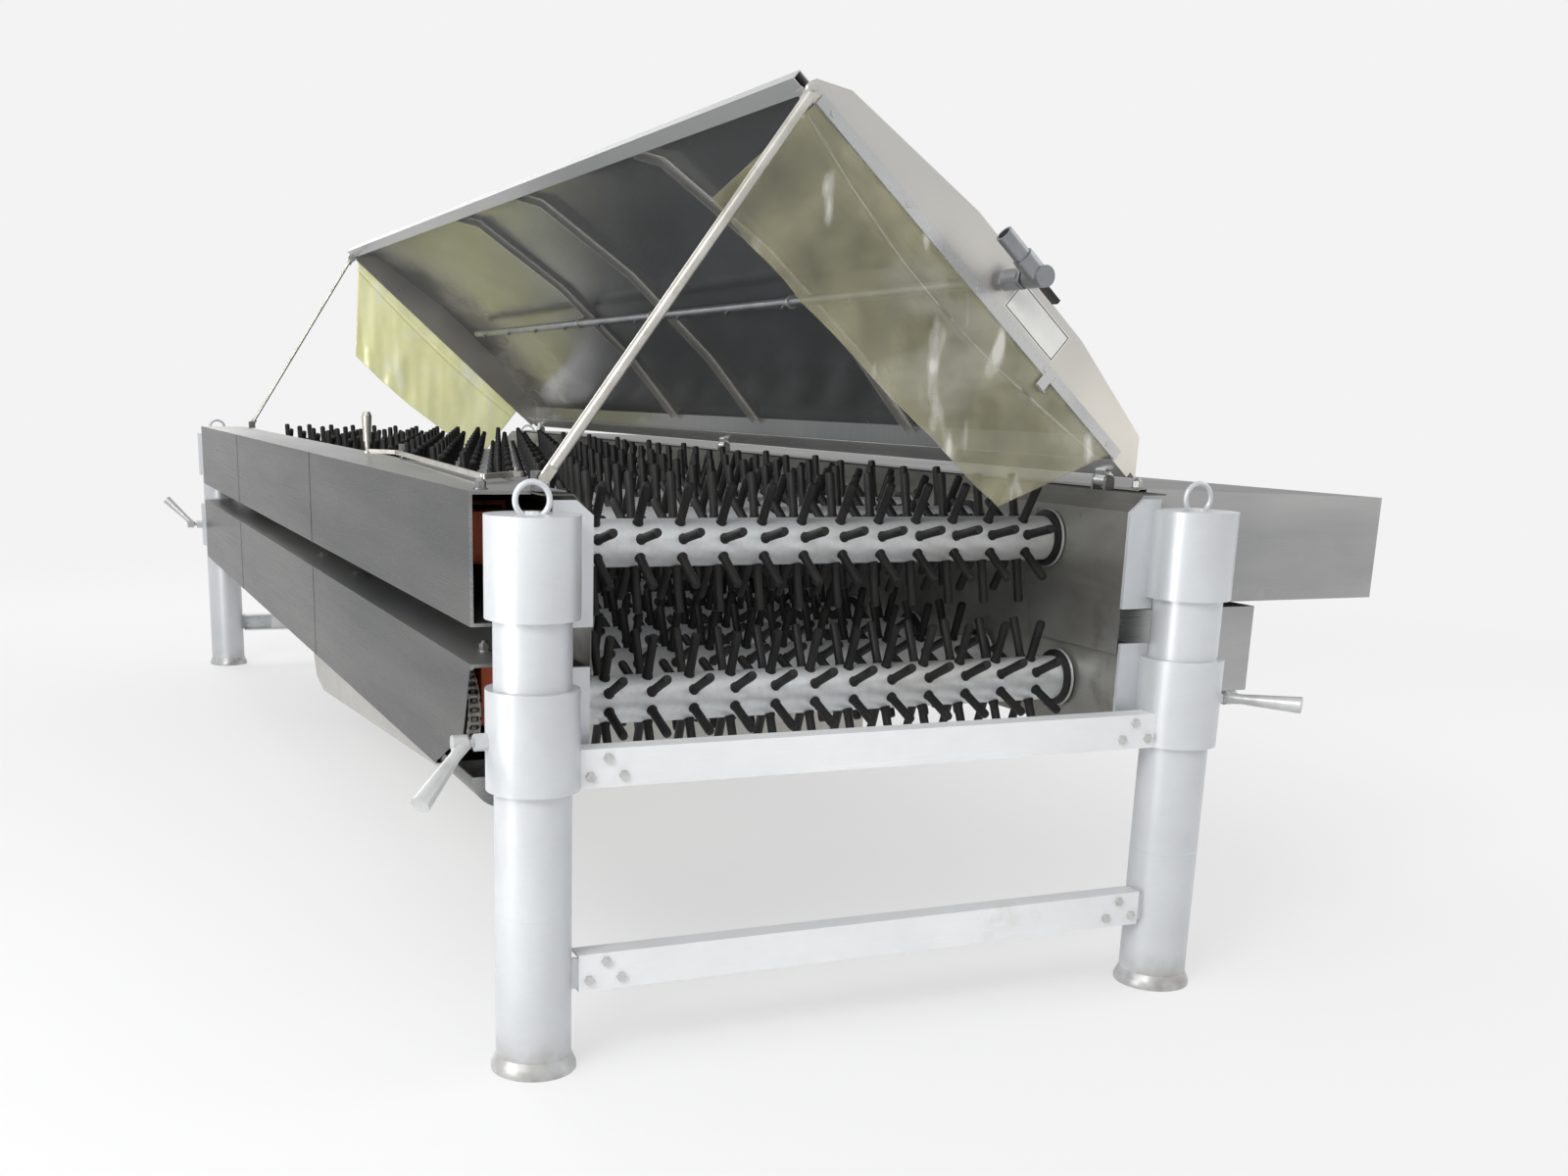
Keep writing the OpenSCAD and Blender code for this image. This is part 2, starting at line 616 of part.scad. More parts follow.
// Arched shell with its edge channel, ribs, hinge knuckles and pipe hangers
module hood_shell() color("lightsteelblue") on_hood() {
    difference() {
        union() {
            along_y(body_front, hood_rear) polygon(sheet(hood_points, -hood_t));
            along_y(body_front, hood_rear) polygon([[-hood_w - channel_w, 0], [-hood_w, 0],
                [-hood_w, channel_h], [-hood_w - channel_w, channel_h]]);
            along_y(body_front + hood_t + 1, hood_rear - hood_t - 1)
                polygon([[-20, 14.5], [-20, 16.5], [-60, 16.5], [-60, 14.5]]);
            along_y(body_front + hood_t + 1, hood_rear - hood_t - 1)
                polygon([[0, 0.012 * hood_w], [-20, 14.5], [-20, 16.5], [0, 16.5]]);
        }
        along_y(body_front - 1, hood_rear + 1) polygon([[-hood_w - channel_w + 2, 2],
            [-hood_w - 2, 2], [-hood_w - 2, channel_h - 2], [-hood_w - channel_w + 2, channel_h - 2]]);
        for (y = hinge_places) translate([-22, y - knuckle_w / 2 - ear_t - 2, -20])
            cube([44, knuckle_w + 2 * ear_t + 4, 42]);
    }
    inner = [for (i = [1:len(hood_points) - 2]) hood_points[i] + shift(hood_points, i, -hood_t)];
    for (y = rib_places) {
        along_y(y - 15, y + 15) polygon(sheet(inner, -4));
        along_y(y - 2, y + 2) polygon(sheet(inner, -26));
        translate([-spray_u, y, spray_v]) difference() {
            union() {
                rod_y(-2, 2, spray_d + 10);
                translate([-8, -2, spray_d / 2]) cube([16, 4, 0.1 * hood_w - spray_v - spray_d / 2]);
            }
            rod_y(-3, 3, spray_d);
        }
    }
    for (y = hinge_places) translate([0, y, 0]) difference() {
        union() {
            rod_y(-knuckle_w / 2, knuckle_w / 2, 28);
            along_y(-knuckle_w / 2, knuckle_w / 2)
                polygon([[-13, 4], [-24, 10], [-24, 20], [0, 30], [4, 13]]);
        }
        rod_y(-knuckle_w, knuckle_w, hinge_pin_d + 2 * run_gap);
    }
    // Pivot pins of the prop rod and of the rear stay, on the free corners
    for (e = [[body_front, -1], [hood_rear, 1]]) translate([-hood_w, e[0], 0]) {
        translate([-14, e[1] > 0 ? -6 : 0, -14]) cube([28, 6, 18]);
        rotate([e[1] * -90, 0, 0]) cylinder(h = rod_gap + 14, d = pivot_d);
    }
}
module hood_end_plates() color("lightsteelblue") on_hood() {
    face = concat([for (i = [0:len(hood_points) - 1]) hood_points[i] + shift(hood_points, i, -hood_t)],
        [[-20, 0.012 * hood_w], [-20, 0]]);
    difference() {
        for (y = [body_front, hood_rear - hood_t]) along_y(y, y + hood_t) polygon(face);
        translate([-spray_u, body_front + 5, spray_v]) rod_y(-10, 10, spray_d + 1);
        for (e = [body_front - 1, hood_rear - 10]) translate([-hood_w - 20, e, -20])
            cube([36, 11, 26]);
    }
}
// Clamp bars that hold the curtains along the chord, with five rivets each
module curtain_bars() color("gainsboro") on_hood() {
    for (e = [[body_front - bar_t - 2.5, -1], [hood_rear + 2.5, 1]]) {
        translate([-hood_w + 30, e[0], 0]) cube([hood_w - 110, bar_t, bar_w]);
        for (k = [0:4]) translate([-hood_w + 70 + k * (hood_w - 190) / 4,
            e[1] < 0 ? e[0] : e[0] + bar_t, bar_w / 2])
            rotate([e[1] * -90, 0, 0]) cylinder(h = 3, d = 12);
    }
}
// Spray pipe with nozzles, ball valve, elbow and inlet stub
module spray_pipe() color("gray") on_hood() translate([-spray_u, 0, spray_v]) {
    difference() {
        union() {
            rod_y(spray_front, spray_rear, spray_d);
            translate([0, valve_y, 0]) {
                rod_y(-28, 28, 46);
                for (y = [-40, 24]) translate([0, y + 16, 0]) rotate([90, 0, 0])
                    cylinder(h = 16, d = 48, $fn = 6);
                cylinder(h = 42, d = stem_d);
            }
            translate([0, spray_front, 0]) {
                rod_y(-26, 34, 46);
                rotate([0, -90, 0]) cylinder(h = 60, d = 46);
                rotate([0, -90, 0]) cylinder(h = 125, d = 38);
            }
            for (k = [0:10]) translate([0, body_front + 300 + k * 400, 0])
                rotate([180, 0, 0]) cylinder(h = spray_d / 2 + 12, d = 12);
        }
        rod_y(spray_front, spray_rear - 6, spray_d - 7);
        translate([0, spray_front, 0]) rotate([0, -90, 0]) {
            cylinder(h = 24, d = spray_d - 7);
            translate([0, 0, 23]) cylinder(h = 110, d = 28);
        }
    }
}

// Hanging sheet: from the bar along u, with its own lean and length at both ends
module curtain(y0, sy, u0, u1, lean, drop, folds, depth) {
    nu = 48;
    nv = 8;
    t = 2;
    // Point of the sheet at shares a along the bar and b down the sheet
    function place(a, b, s) = let (
        g = lean[0] + (lean[1] - lean[0]) * a,
        d = drop[0] + (drop[1] - drop[0]) * a,
        r = (d + 20) * b - 20,
        w = depth * max(0, r - 20) / d * (1 - cos(360 * folds * a)) / 2)
        [u0 + (u1 - u0) * a + r * cos(g), y0 + sy * (s - w), r * sin(g)];
    n = (nu + 1) * (nv + 1);
    points = concat([for (s = [0, t]) for (i = [0:nu]) for (j = [0:nv])
        place(i / nu, j / nv, s)]);
    function id(i, j) = i * (nv + 1) + j;
    // Rim of the sheet as one closed walk of point numbers
    rim = concat([for (i = [0:nu]) id(i, 0)], [for (j = [1:nv]) id(nu, j)],
        [for (i = [nu - 1:-1:0]) id(i, nv)], [for (j = [nv - 1:-1:1]) id(0, j)]);
    m = len(rim);
    near = [for (i = [0:nu - 1]) for (j = [0:nv - 1]) each
        [[id(i, j), id(i + 1, j), id(i + 1, j + 1)], [id(i, j), id(i + 1, j + 1), id(i, j + 1)]]];
    far = [for (f = near) [f[0] + n, f[2] + n, f[1] + n]];
    wall = [for (k = [0:m - 1]) each let (a = rim[k], b = rim[(k + 1) % m])
        [[a, a + n, b + n], [a, b + n, b]]];
    faces = concat(near, far, wall);
    polyhedron(points = points,
        faces = sy < 0 ? faces : [for (f = faces) [f[0], f[2], f[1]]]);
}
module front_curtain() color("khaki", 0.7) on_hood()
    curtain(body_front - 0.4, -1, -hood_w + 30, -hood_w + 1090, [262, 242], [305, 325], 5, 22);
module rear_curtain() color("khaki", 0.7) on_hood()
    curtain(hood_rear + 0.4, 1, -hood_w + 30, -hood_w + 1060, [308, 272], [430, 290], 5, 22);

module valve_lever() color("black") on_hood()
    translate([-spray_u, valve_y, spray_v + 27]) difference() {
        union() {
            cylinder(h = 14, d = 22);
            translate([0, -9, 8]) cube([110, 18, 4]);
            translate([30, -11, 5]) cube([80, 22, 10]);
        }
        translate([0, 0, -1]) cylinder(h = 20, d = stem_d + 2 * run_gap);
    }

// Straight rod with a flat eye at its hood end and a flat foot
module strut(x0, z0, x1, z1, y, d) {
    reach = norm([x1 - x0, z1 - z0]);
    translate([x0, y, z0]) rotate([0, -atan2(z1 - z0, x1 - x0), 0]) difference() {
        union() {
            rod_x(14, reach - 28, d);
            rod_y(-strut_t / 2, strut_t / 2, 34);
            translate([10, -strut_t / 2, -12]) cube([22, strut_t, 24]);
            translate([reach - 30, -strut_t / 2, -11]) cube([30, strut_t, 22]);
            translate([reach, 0, 0]) rod_y(-strut_t / 2, strut_t / 2, 22);
        }
        rod_y(-20, 20, pivot_d + 2 * run_gap);
    }
}
module front_prop_rod() color("silver")
    strut(free_x, free_z, -prop_foot_x, prop_foot_z, front_rod_y, prop_d);
module rear_stay() color("silver")
    strut(free_x, free_z, -stay_foot_x, stay_foot_z, rear_rod_y, stay_d);

// Flat bar from a to b, standing on its edge
module flat_bar(a, b, h, t) {
    translate([a[0], a[1], 0]) rotate([0, 0, atan2(b[1] - a[1], b[0] - a[0])])
        translate([-t / 2, -t / 2, 0]) cube([norm(b - a) + t, t, h]);
}
module latch_lever() color("silver") translate([0, 0, upper_top + 8 + face_gap]) {
    grip = [-latch_x - 80, latch_y + 1295];
    path = [[-latch_x - 10, latch_y - 3], [-latch_x - 110, latch_y - 125],
        [-latch_x - 10, latch_y + 1225], grip];
    difference() {
        union() {
            translate([-latch_x, latch_y, 0]) cylinder(h = 12, d = 34);
            for (i = [0:2]) flat_bar(path[i], path[i + 1], 12, 8);
            translate([grip[0], grip[1], 0]) {
                cylinder(h = 6, d = 24);
                translate([0, 0, 5]) cylinder(h = 30, d1 = 12, d2 = 18);
                translate([0, 0, 34]) cylinder(h = 74, d1 = 22, d2 = 30);
                translate([0, 0, 107]) cylinder(h = 12, d1 = 30, d2 = 20);
            }
        }
        translate([-latch_x, latch_y, -1]) cylinder(h = 20, d = 12 + 2 * run_gap);
    }
}

// Clamp lever: stud along the outward axis, ball head and tapered handle
module clamp_lever(sx, sy, turn) color("silver")
    translate([sx * post_x, sy * post_y, clamp_z]) on_side(sx) {
        rod_x(leg_r + 3, sleeve_r + 52, clamp_d);
        translate([sleeve_r + 44, 0, 0]) rotate([turn, 0, 0]) {
            rod_x(-4, 26, 34);
            rotate([0, 90 + clamp_tilt, 0]) {
                cylinder(h = 40, d1 = 30, d2 = 24);
                translate([0, 0, 39]) cylinder(h = clamp_len - 43, d1 = 24, d2 = 40);
            }
        }
    }
module clamp_lever_front_left() clamp_lever(-1, -1, -45);
module clamp_lever_front_right() clamp_lever(1, -1, -90);
module clamp_lever_rear_left() clamp_lever(-1, 1, 150);
module clamp_lever_rear_right() clamp_lever(1, 1, 90);

// Toothed sprocket plate in the plane of the chain
module sprocket() {
    root = pitch_r - chain_roller_r - 0.15;
    rotate([0, 90, 0]) translate([0, 0, -sprocket_t / 2]) linear_extrude(sprocket_t) {
        circle(r = root);
        for (k = [0:tooth_count - 1]) rotate(k * 360 / tooth_count + 180 / tooth_count)
            polygon([[root - 1, -4.2], [pitch_r + 6.5, -1.6], [pitch_r + 6.5, 1.6], [root - 1, 4.2]]);
    }
}
// Roller tube with its rows of fingers, end discs, shaft and sprocket
module roller(y, z, row_angle) translate([0, y, z]) {
    difference() {
        union() {
            rod_x(-tube_end_x, tube_end_x, tube_d);
            for (x = [-tube_end_x, tube_end_x - disc_t]) rod_x(x, x + disc_t, disc_d);
        }
        rod_x(disc_t - tube_end_x, tube_end_x - disc_t, tube_d - 2 * tube_wall);
        // Vent holes in the end discs
        for (a = [0, 180]) rotate([a, 0, 0]) translate([0, 0, (tube_d + shaft_d) / 4 - 2])
            rod_x(-tube_end_x - 1, tube_end_x + 1, 10);
    }
    rod_x(-shaft_left_x, shaft_right_x - 30, shaft_d);
    translate([-chain_x, 0, 0]) sprocket();
    row_w = (finger_count - 1) * finger_pitch;
    for (r = [0:finger_rows - 1]) rotate([row_angle + r * 360 / finger_rows, 0, 0]) {
        translate([-row_w / 2, -tube_d / 2 - seat_gap - strip_h, -strip_w / 2])
            cube([row_w, strip_h, strip_w]);
        for (k = [0:finger_count - 1])
            translate([k * finger_pitch - row_w / 2, 0, 0]) finger();
    }
}
// Rubber finger that stands on its tube, pointing to the front
module finger() rotate([90, 0, 0]) translate([0, 0, tube_d / 2 + seat_gap])
    cylinder(h = finger_len, d = finger_d);
module upper_roller(k) color("lightgray")
    roller(upper_first_y + (k - 1) * roller_pitch, upper_axis_z, -upper_row_angle);
module lower_roller(k) color("lightgray")
    roller(lower_first_y + (k - 1) * roller_pitch, lower_axis_z, -lower_row_angle);

leg_posts();
base_beams();
base_bolts();
lower_sleeves();
frame_beams();
frame_bolts();
lower_side_plates();
lower_chain_case();
lower_right_case();
lower_bearings();
lower_chain();
feather_pan();
lower_motor();
upper_sleeves();
upper_side_plates();
upper_chain_case();
motor_housing();
upper_bearings();
upper_chain();
upper_motor();
hood_shell();
hood_end_plates();
curtain_bars();
spray_pipe();
front_curtain();
rear_curtain();
valve_lever();
front_prop_rod();
rear_stay();
latch_lever();
clamp_lever_front_left();
clamp_lever_front_right();
clamp_lever_rear_left();
clamp_lever_rear_right();
for (k = [1:roller_count]) {
    name = str(k < 10 ? "0" : "", k);
    upper_roller(k);
    lower_roller(k);
}
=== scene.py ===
import json
import math
import bpy
import bmesh
import numpy as np
from mathutils import Matrix, Vector

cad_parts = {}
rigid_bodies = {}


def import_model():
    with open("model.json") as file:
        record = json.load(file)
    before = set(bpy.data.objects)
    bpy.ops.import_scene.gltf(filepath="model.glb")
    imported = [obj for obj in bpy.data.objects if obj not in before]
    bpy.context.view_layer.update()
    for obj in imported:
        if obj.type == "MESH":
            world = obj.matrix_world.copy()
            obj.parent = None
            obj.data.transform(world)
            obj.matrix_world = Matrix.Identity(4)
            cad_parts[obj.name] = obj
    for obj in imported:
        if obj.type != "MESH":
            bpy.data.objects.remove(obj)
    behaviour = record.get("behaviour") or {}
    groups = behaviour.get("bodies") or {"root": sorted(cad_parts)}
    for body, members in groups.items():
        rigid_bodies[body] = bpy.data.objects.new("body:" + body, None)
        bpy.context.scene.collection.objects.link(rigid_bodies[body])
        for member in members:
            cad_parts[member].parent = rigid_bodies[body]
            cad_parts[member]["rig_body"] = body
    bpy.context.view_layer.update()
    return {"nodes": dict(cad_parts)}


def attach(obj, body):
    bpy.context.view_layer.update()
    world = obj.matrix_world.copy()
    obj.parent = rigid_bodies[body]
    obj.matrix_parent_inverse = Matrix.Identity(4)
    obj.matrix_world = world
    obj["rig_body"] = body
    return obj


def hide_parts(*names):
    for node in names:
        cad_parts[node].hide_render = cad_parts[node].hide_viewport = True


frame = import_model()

cad = frame["nodes"]
print("frame loaded:", len(cad), "nodes")

# the photograph's camera: focal length and optical centre in picture pixels, turns in degrees
photoView = {"place": (-1.7084, -5.7196, 1.3786), "yaw": -22.8, "pitch": -14.4, "roll": 1.4,
             "focal": 1626.0, "centre": (711.0, 823.4), "width": 1600, "height": 1200}


def aimCamera(v):
    # forward = (-sin yaw cos pitch, cos yaw cos pitch, sin pitch); the roll turns right and up about it
    yaw, pitch, roll = (math.radians(v[k]) for k in ("yaw", "pitch", "roll"))
    forward = Vector((-math.sin(yaw) * math.cos(pitch), math.cos(yaw) * math.cos(pitch), math.sin(pitch)))
    right = Vector((math.cos(yaw), math.sin(yaw), 0))
    up = right.cross(forward)
    turnedRight = right * math.cos(roll) + up * math.sin(roll)
    turnedUp = up * math.cos(roll) - right * math.sin(roll)
    lens = bpy.data.cameras.new("photoCamera")
    lens.sensor_width = 36.0
    lens.lens = 36.0 * v["focal"] / v["width"]
    lens.shift_x = (v["width"] / 2 - v["centre"][0]) / v["width"]
    lens.shift_y = (v["centre"][1] - v["height"] / 2) / v["width"]
    lens.clip_end = 200
    eye = bpy.data.objects.new("photoCamera", lens)
    bpy.context.scene.collection.objects.link(eye)
    turn = Matrix((turnedRight, turnedUp, -forward)).transposed().to_4x4()
    eye.matrix_world = Matrix.Translation(Vector(v["place"])) @ turn
    bpy.context.scene.camera = eye


aimCamera(photoView)
bpy.context.scene.view_settings.view_transform = "Standard"
print("camera aimed")

# the machine's own measures, in metres
hoodSeat = {"hingeX": 0.715, "hingeZ": 1.208, "width": 1.185, "angle": math.radians(41)}
drive = {"pitch": 0.01905, "between": 19, "teeth": 28, "plane": -0.868, "count": 13,
         "upperY": -2.330, "upperZ": 1.060, "lowerY": -2.415, "lowerZ": 0.722}
caseEnds = (-2.560, 2.300)


def onHood(u, y, v):
    # x = hinge x + u cos a + v sin a, z = hinge z - u sin a + v cos a
    c, s = math.cos(hoodSeat["angle"]), math.sin(hoodSeat["angle"])
    u, y, v = np.broadcast_arrays(u, y, v)
    return np.stack([hoodSeat["hingeX"] + u * c + v * s, y, hoodSeat["hingeZ"] - u * s + v * c], -1)


def gridFaces(rows, cols, loopRows=False, loopCols=False):
    # quad (i, j), (i+1, j), (i+1, j+1), (i, j+1) for every cell of the grid
    i, j = np.meshgrid(np.arange(rows if loopRows else rows - 1),
                       np.arange(cols if loopCols else cols - 1), indexing="ij")
    i2, j2 = (i + 1) % rows, (j + 1) % cols
    return np.stack([i * cols + j, i2 * cols + j, i2 * cols + j2, i * cols + j2], -1).reshape(-1, 4)


def copies(points, faces):
    # the same faces for each of the n point sets in an array of shape (n, points, 3)
    n, m = points.shape[:2]
    shift = (np.arange(n) * m)[:, None, None]
    return points.reshape(-1, 3), (faces[None] + shift).reshape(-1, faces.shape[1])


def joined(parts):
    # point sets one after the other, with their faces counted on
    points, faces, start = [], [], 0
    for p, f in parts:
        points.append(p.reshape(-1, 3))
        faces += [[n + start for n in face] for face in (f if isinstance(f, list) else f.tolist())]
        start += len(points[-1])
    return np.concatenate(points), faces


def closeSeams(tidy):
    bmesh.ops.remove_doubles(tidy, verts=tidy.verts, dist=1e-6)
    bmesh.ops.recalc_face_normals(tidy, faces=tidy.faces)


def joinFlat(tidy):
    # triangles merged where they meet, and flat faces joined
    bmesh.ops.remove_doubles(tidy, verts=tidy.verts, dist=1e-5)
    flat = math.radians(0.6)
    bmesh.ops.dissolve_limit(tidy, angle_limit=flat, verts=tidy.verts, edges=tidy.edges)


def piece(name, points, faces, body, slot, finish, stands=(), crease=35, clean=closeSeams):
    # a mesh with smooth faces, sharp past the crease angle, that rides its body
    mesh = bpy.data.meshes.new(name)
    mesh.from_pydata(points.tolist(), [], faces if isinstance(faces, list) else faces.tolist())
    tidy = bmesh.new()
    tidy.from_mesh(mesh)
    clean(tidy)
    tidy.to_mesh(mesh)
    tidy.free()
    mesh.shade_smooth()
    mesh.set_sharp_from_angle(angle=math.radians(crease))
    thing = bpy.data.objects.new(name, mesh)
    bpy.context.scene.collection.objects.link(thing)
    mesh.materials.append(finish)
    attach(thing, body)
    if stands:
        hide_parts(*stands)
    return thing


def revolved(profile, sides, start, along):
    # point = start + s along + r (a cos t + b sin t), for each (s, r) of the profile
    along = Vector(along).normalized()
    a = along.orthogonal().normalized()
    b = along.cross(a)
    s, r = np.array(profile, float).T
    t = np.arange(sides) * 2 * np.pi / sides
    ring = np.cos(t)[:, None] * np.array(a) + np.sin(t)[:, None] * np.array(b)
    points = np.array(start) + s[:, None, None] * np.array(along) + r[:, None, None] * ring[None]
    return points.reshape(-1, 3), gridFaces(len(s), sides, loopCols=True)


def blank(name):
    # a new finish, its node tree and its shader
    finish = bpy.data.materials.new(name)
    finish.use_nodes = True
    tree = finish.node_tree
    return finish, tree, tree.nodes["Principled BSDF"]


def objectNoise(tree, scale, detail, size=1.0, rough=0.55):
    # noise on object coordinates, stretched by the scale along each axis
    place = tree.nodes.new("ShaderNodeTexCoord")
    turn = tree.nodes.new("ShaderNodeMapping")
    turn.inputs["Scale"].default_value = scale
    noise = tree.nodes.new("ShaderNodeTexNoise")
    noise.inputs["Scale"].default_value = size
    noise.inputs["Detail"].default_value = detail
    noise.inputs["Roughness"].default_value = rough
    tree.links.new(place.outputs["Object"], turn.inputs["Vector"])
    tree.links.new(turn.outputs["Vector"], noise.inputs["Vector"])
    return noise.outputs["Fac"]


def spread(tree, value, low, high, toLow=0.0, toHigh=1.0):
    # low to high becomes toLow to toHigh, held at both ends
    step = tree.nodes.new("ShaderNodeMapRange")
    for key, number in (("From Min", low), ("From Max", high), ("To Min", toLow), ("To Max", toHigh)):
        step.inputs[key].default_value = number
    tree.links.new(value, step.inputs["Value"])
    return step.outputs["Result"]


def blendColour(tree, share, first, second):
    mix = tree.nodes.new("ShaderNodeMix")
    mix.data_type = "RGBA"
    sockets = [s for s in mix.inputs if s.enabled]
    for socket, value in zip(sockets, (share, first, second)):
        if isinstance(value, (tuple, list)):
            socket.default_value = (*value, 1.0)
        else:
            tree.links.new(value, socket)
    return [s for s in mix.outputs if s.enabled][0]


def combine(tree, first, second, how="MULTIPLY"):
    # product of two values, or what else the operation in how makes of them
    step = tree.nodes.new("ShaderNodeMath")
    step.operation = how
    for socket, value in zip(step.inputs, (first, second)):
        if isinstance(value, (int, float)):
            socket.default_value = value
        else:
            tree.links.new(value, socket)
    return step.outputs["Value"]


def scaled(tree, colour, factor):
    # the colour times the factor
    step = tree.nodes.new("ShaderNodeVectorMath")
    step.operation = "SCALE"
    tree.links.new(colour, step.inputs[0])
    tree.links.new(factor, step.inputs["Scale"])
    return step.outputs["Vector"]


def coordinate(tree, axis):
    place = tree.nodes.new("ShaderNodeTexCoord")
    parts = tree.nodes.new("ShaderNodeSeparateXYZ")
    tree.links.new(place.outputs["Object"], parts.inputs["Vector"])
    return parts.outputs[axis]


def ripple(tree, shader, height, strength, distance):
    # fine relief in the shading
    bump = tree.nodes.new("ShaderNodeBump")
    bump.inputs["Strength"].default_value = strength
    bump.inputs["Distance"].default_value = distance
    tree.links.new(height, bump.inputs["Height"])
    tree.links.new(bump.outputs["Normal"], shader.inputs["Normal"])


def facing(tree, axis):
    # 1 where the face points along the axis or against it, 0 elsewhere
    shape = tree.nodes.new("ShaderNodeNewGeometry")
    parts = tree.nodes.new("ShaderNodeSeparateXYZ")
    tree.links.new(shape.outputs["True Normal"], parts.inputs["Vector"])
    size = combine(tree, parts.outputs[axis], parts.outputs[axis])
    return spread(tree, size, 0.45, 0.55)


def byFacing(tree, faceWeights):
    # nx nx tx + ny ny ty + nz nz tz: a weight by the way a face points; on the colour it is painted light and
    # shade, a folded sheet's sides, ends and tops made lighter or darker as the light falls on them, and on
    # the gloss a change of roughness
    shape = tree.nodes.new("ShaderNodeNewGeometry")
    square, total = tree.nodes.new("ShaderNodeVectorMath"), tree.nodes.new("ShaderNodeVectorMath")
    square.operation, total.operation = "MULTIPLY", "DOT_PRODUCT"
    for socket in square.inputs[:2]:
        tree.links.new(shape.outputs["True Normal"], socket)
    tree.links.new(square.outputs["Vector"], total.inputs[0])
    total.inputs[1].default_value = faceWeights
    return total.outputs["Value"]


def mixValue(tree, share, first, second):
    # first where the share is 0, second where it is 1
    mix = tree.nodes.new("ShaderNodeMix")
    for key, value in (("Factor", share), ("A", first), ("B", second)):
        tree.links.new(value, mix.inputs[key])
    return mix.outputs["Result"]


def sheetMetal(name, f):
    # base and dark colours mixed by broad patches, fine brush lines along one axis, stains on top; the face
    # weights paint light and shade into the colour by the way a face points, matt changes the gloss the same
    # way, and edge is the strength of the gloss at a slant
    finish, tree, shader = blank(name)
    patches = objectNoise(tree, f.get("drawn", (1, 1, 1)), 4, f["patch"])
    lines = objectNoise(tree, f["grain"], 5, 1.0, 0.7)
    if "endGrain" in f:
        lines = mixValue(tree, facing(tree, "Y"), lines, objectNoise(tree, f["endGrain"], 5, 1.0, 0.7))
    colour = blendColour(tree, spread(tree, patches, 0.35, 0.68), f["base"], f["dark"])
    colour = blendColour(tree, spread(tree, lines, 0.3, 0.75, 0.0, f.get("lineShare", 0.35)), colour,
                         tuple(0.6 * c for c in f["base"]))
    if "stain" in f:
        spots = objectNoise(tree, (1, 1, 1), 8, f.get("stainSize", 9.0), 0.68)
        low = f.get("stainFrom", 0.56)
        stained = spread(tree, spots, low, low + 0.16, 0.0, f.get("stainShare", 0.5))
        colour = blendColour(tree, stained, colour, f["stain"])
    if "dirtTop" in f:
        low = spread(tree, coordinate(tree, "Z"), f["dirtTop"], 0.0, 0.0, 1.0)
        mud = combine(tree, low, spread(tree, objectNoise(tree, (1, 1, 1), 7, 14.0), 0.3, 0.75))
        colour = blendColour(tree, mud, colour, (0.20, 0.17, 0.13))
    gloss = spread(tree, lines, 0.25, 0.8, f["rough"] - f["roughSpread"], f["rough"] + f["roughSpread"])
    # painted light and shade: the colour is made lighter or darker by the way each face points
    if "faceWeights" in f:
        colour = scaled(tree, colour, byFacing(tree, f["faceWeights"]))
        gloss = combine(tree, gloss, byFacing(tree, f["matt"]))
    tree.links.new(colour, shader.inputs["Base Color"])
    shader.inputs["Metallic"].default_value = f["metallic"]
    shader.inputs["Specular Tint"].default_value = (f.get("edge", 1.0),) * 3 + (1,)
    tree.links.new(gloss, shader.inputs["Roughness"])
    ripple(tree, shader, lines, f["bump"], 0.0006)
    return finish
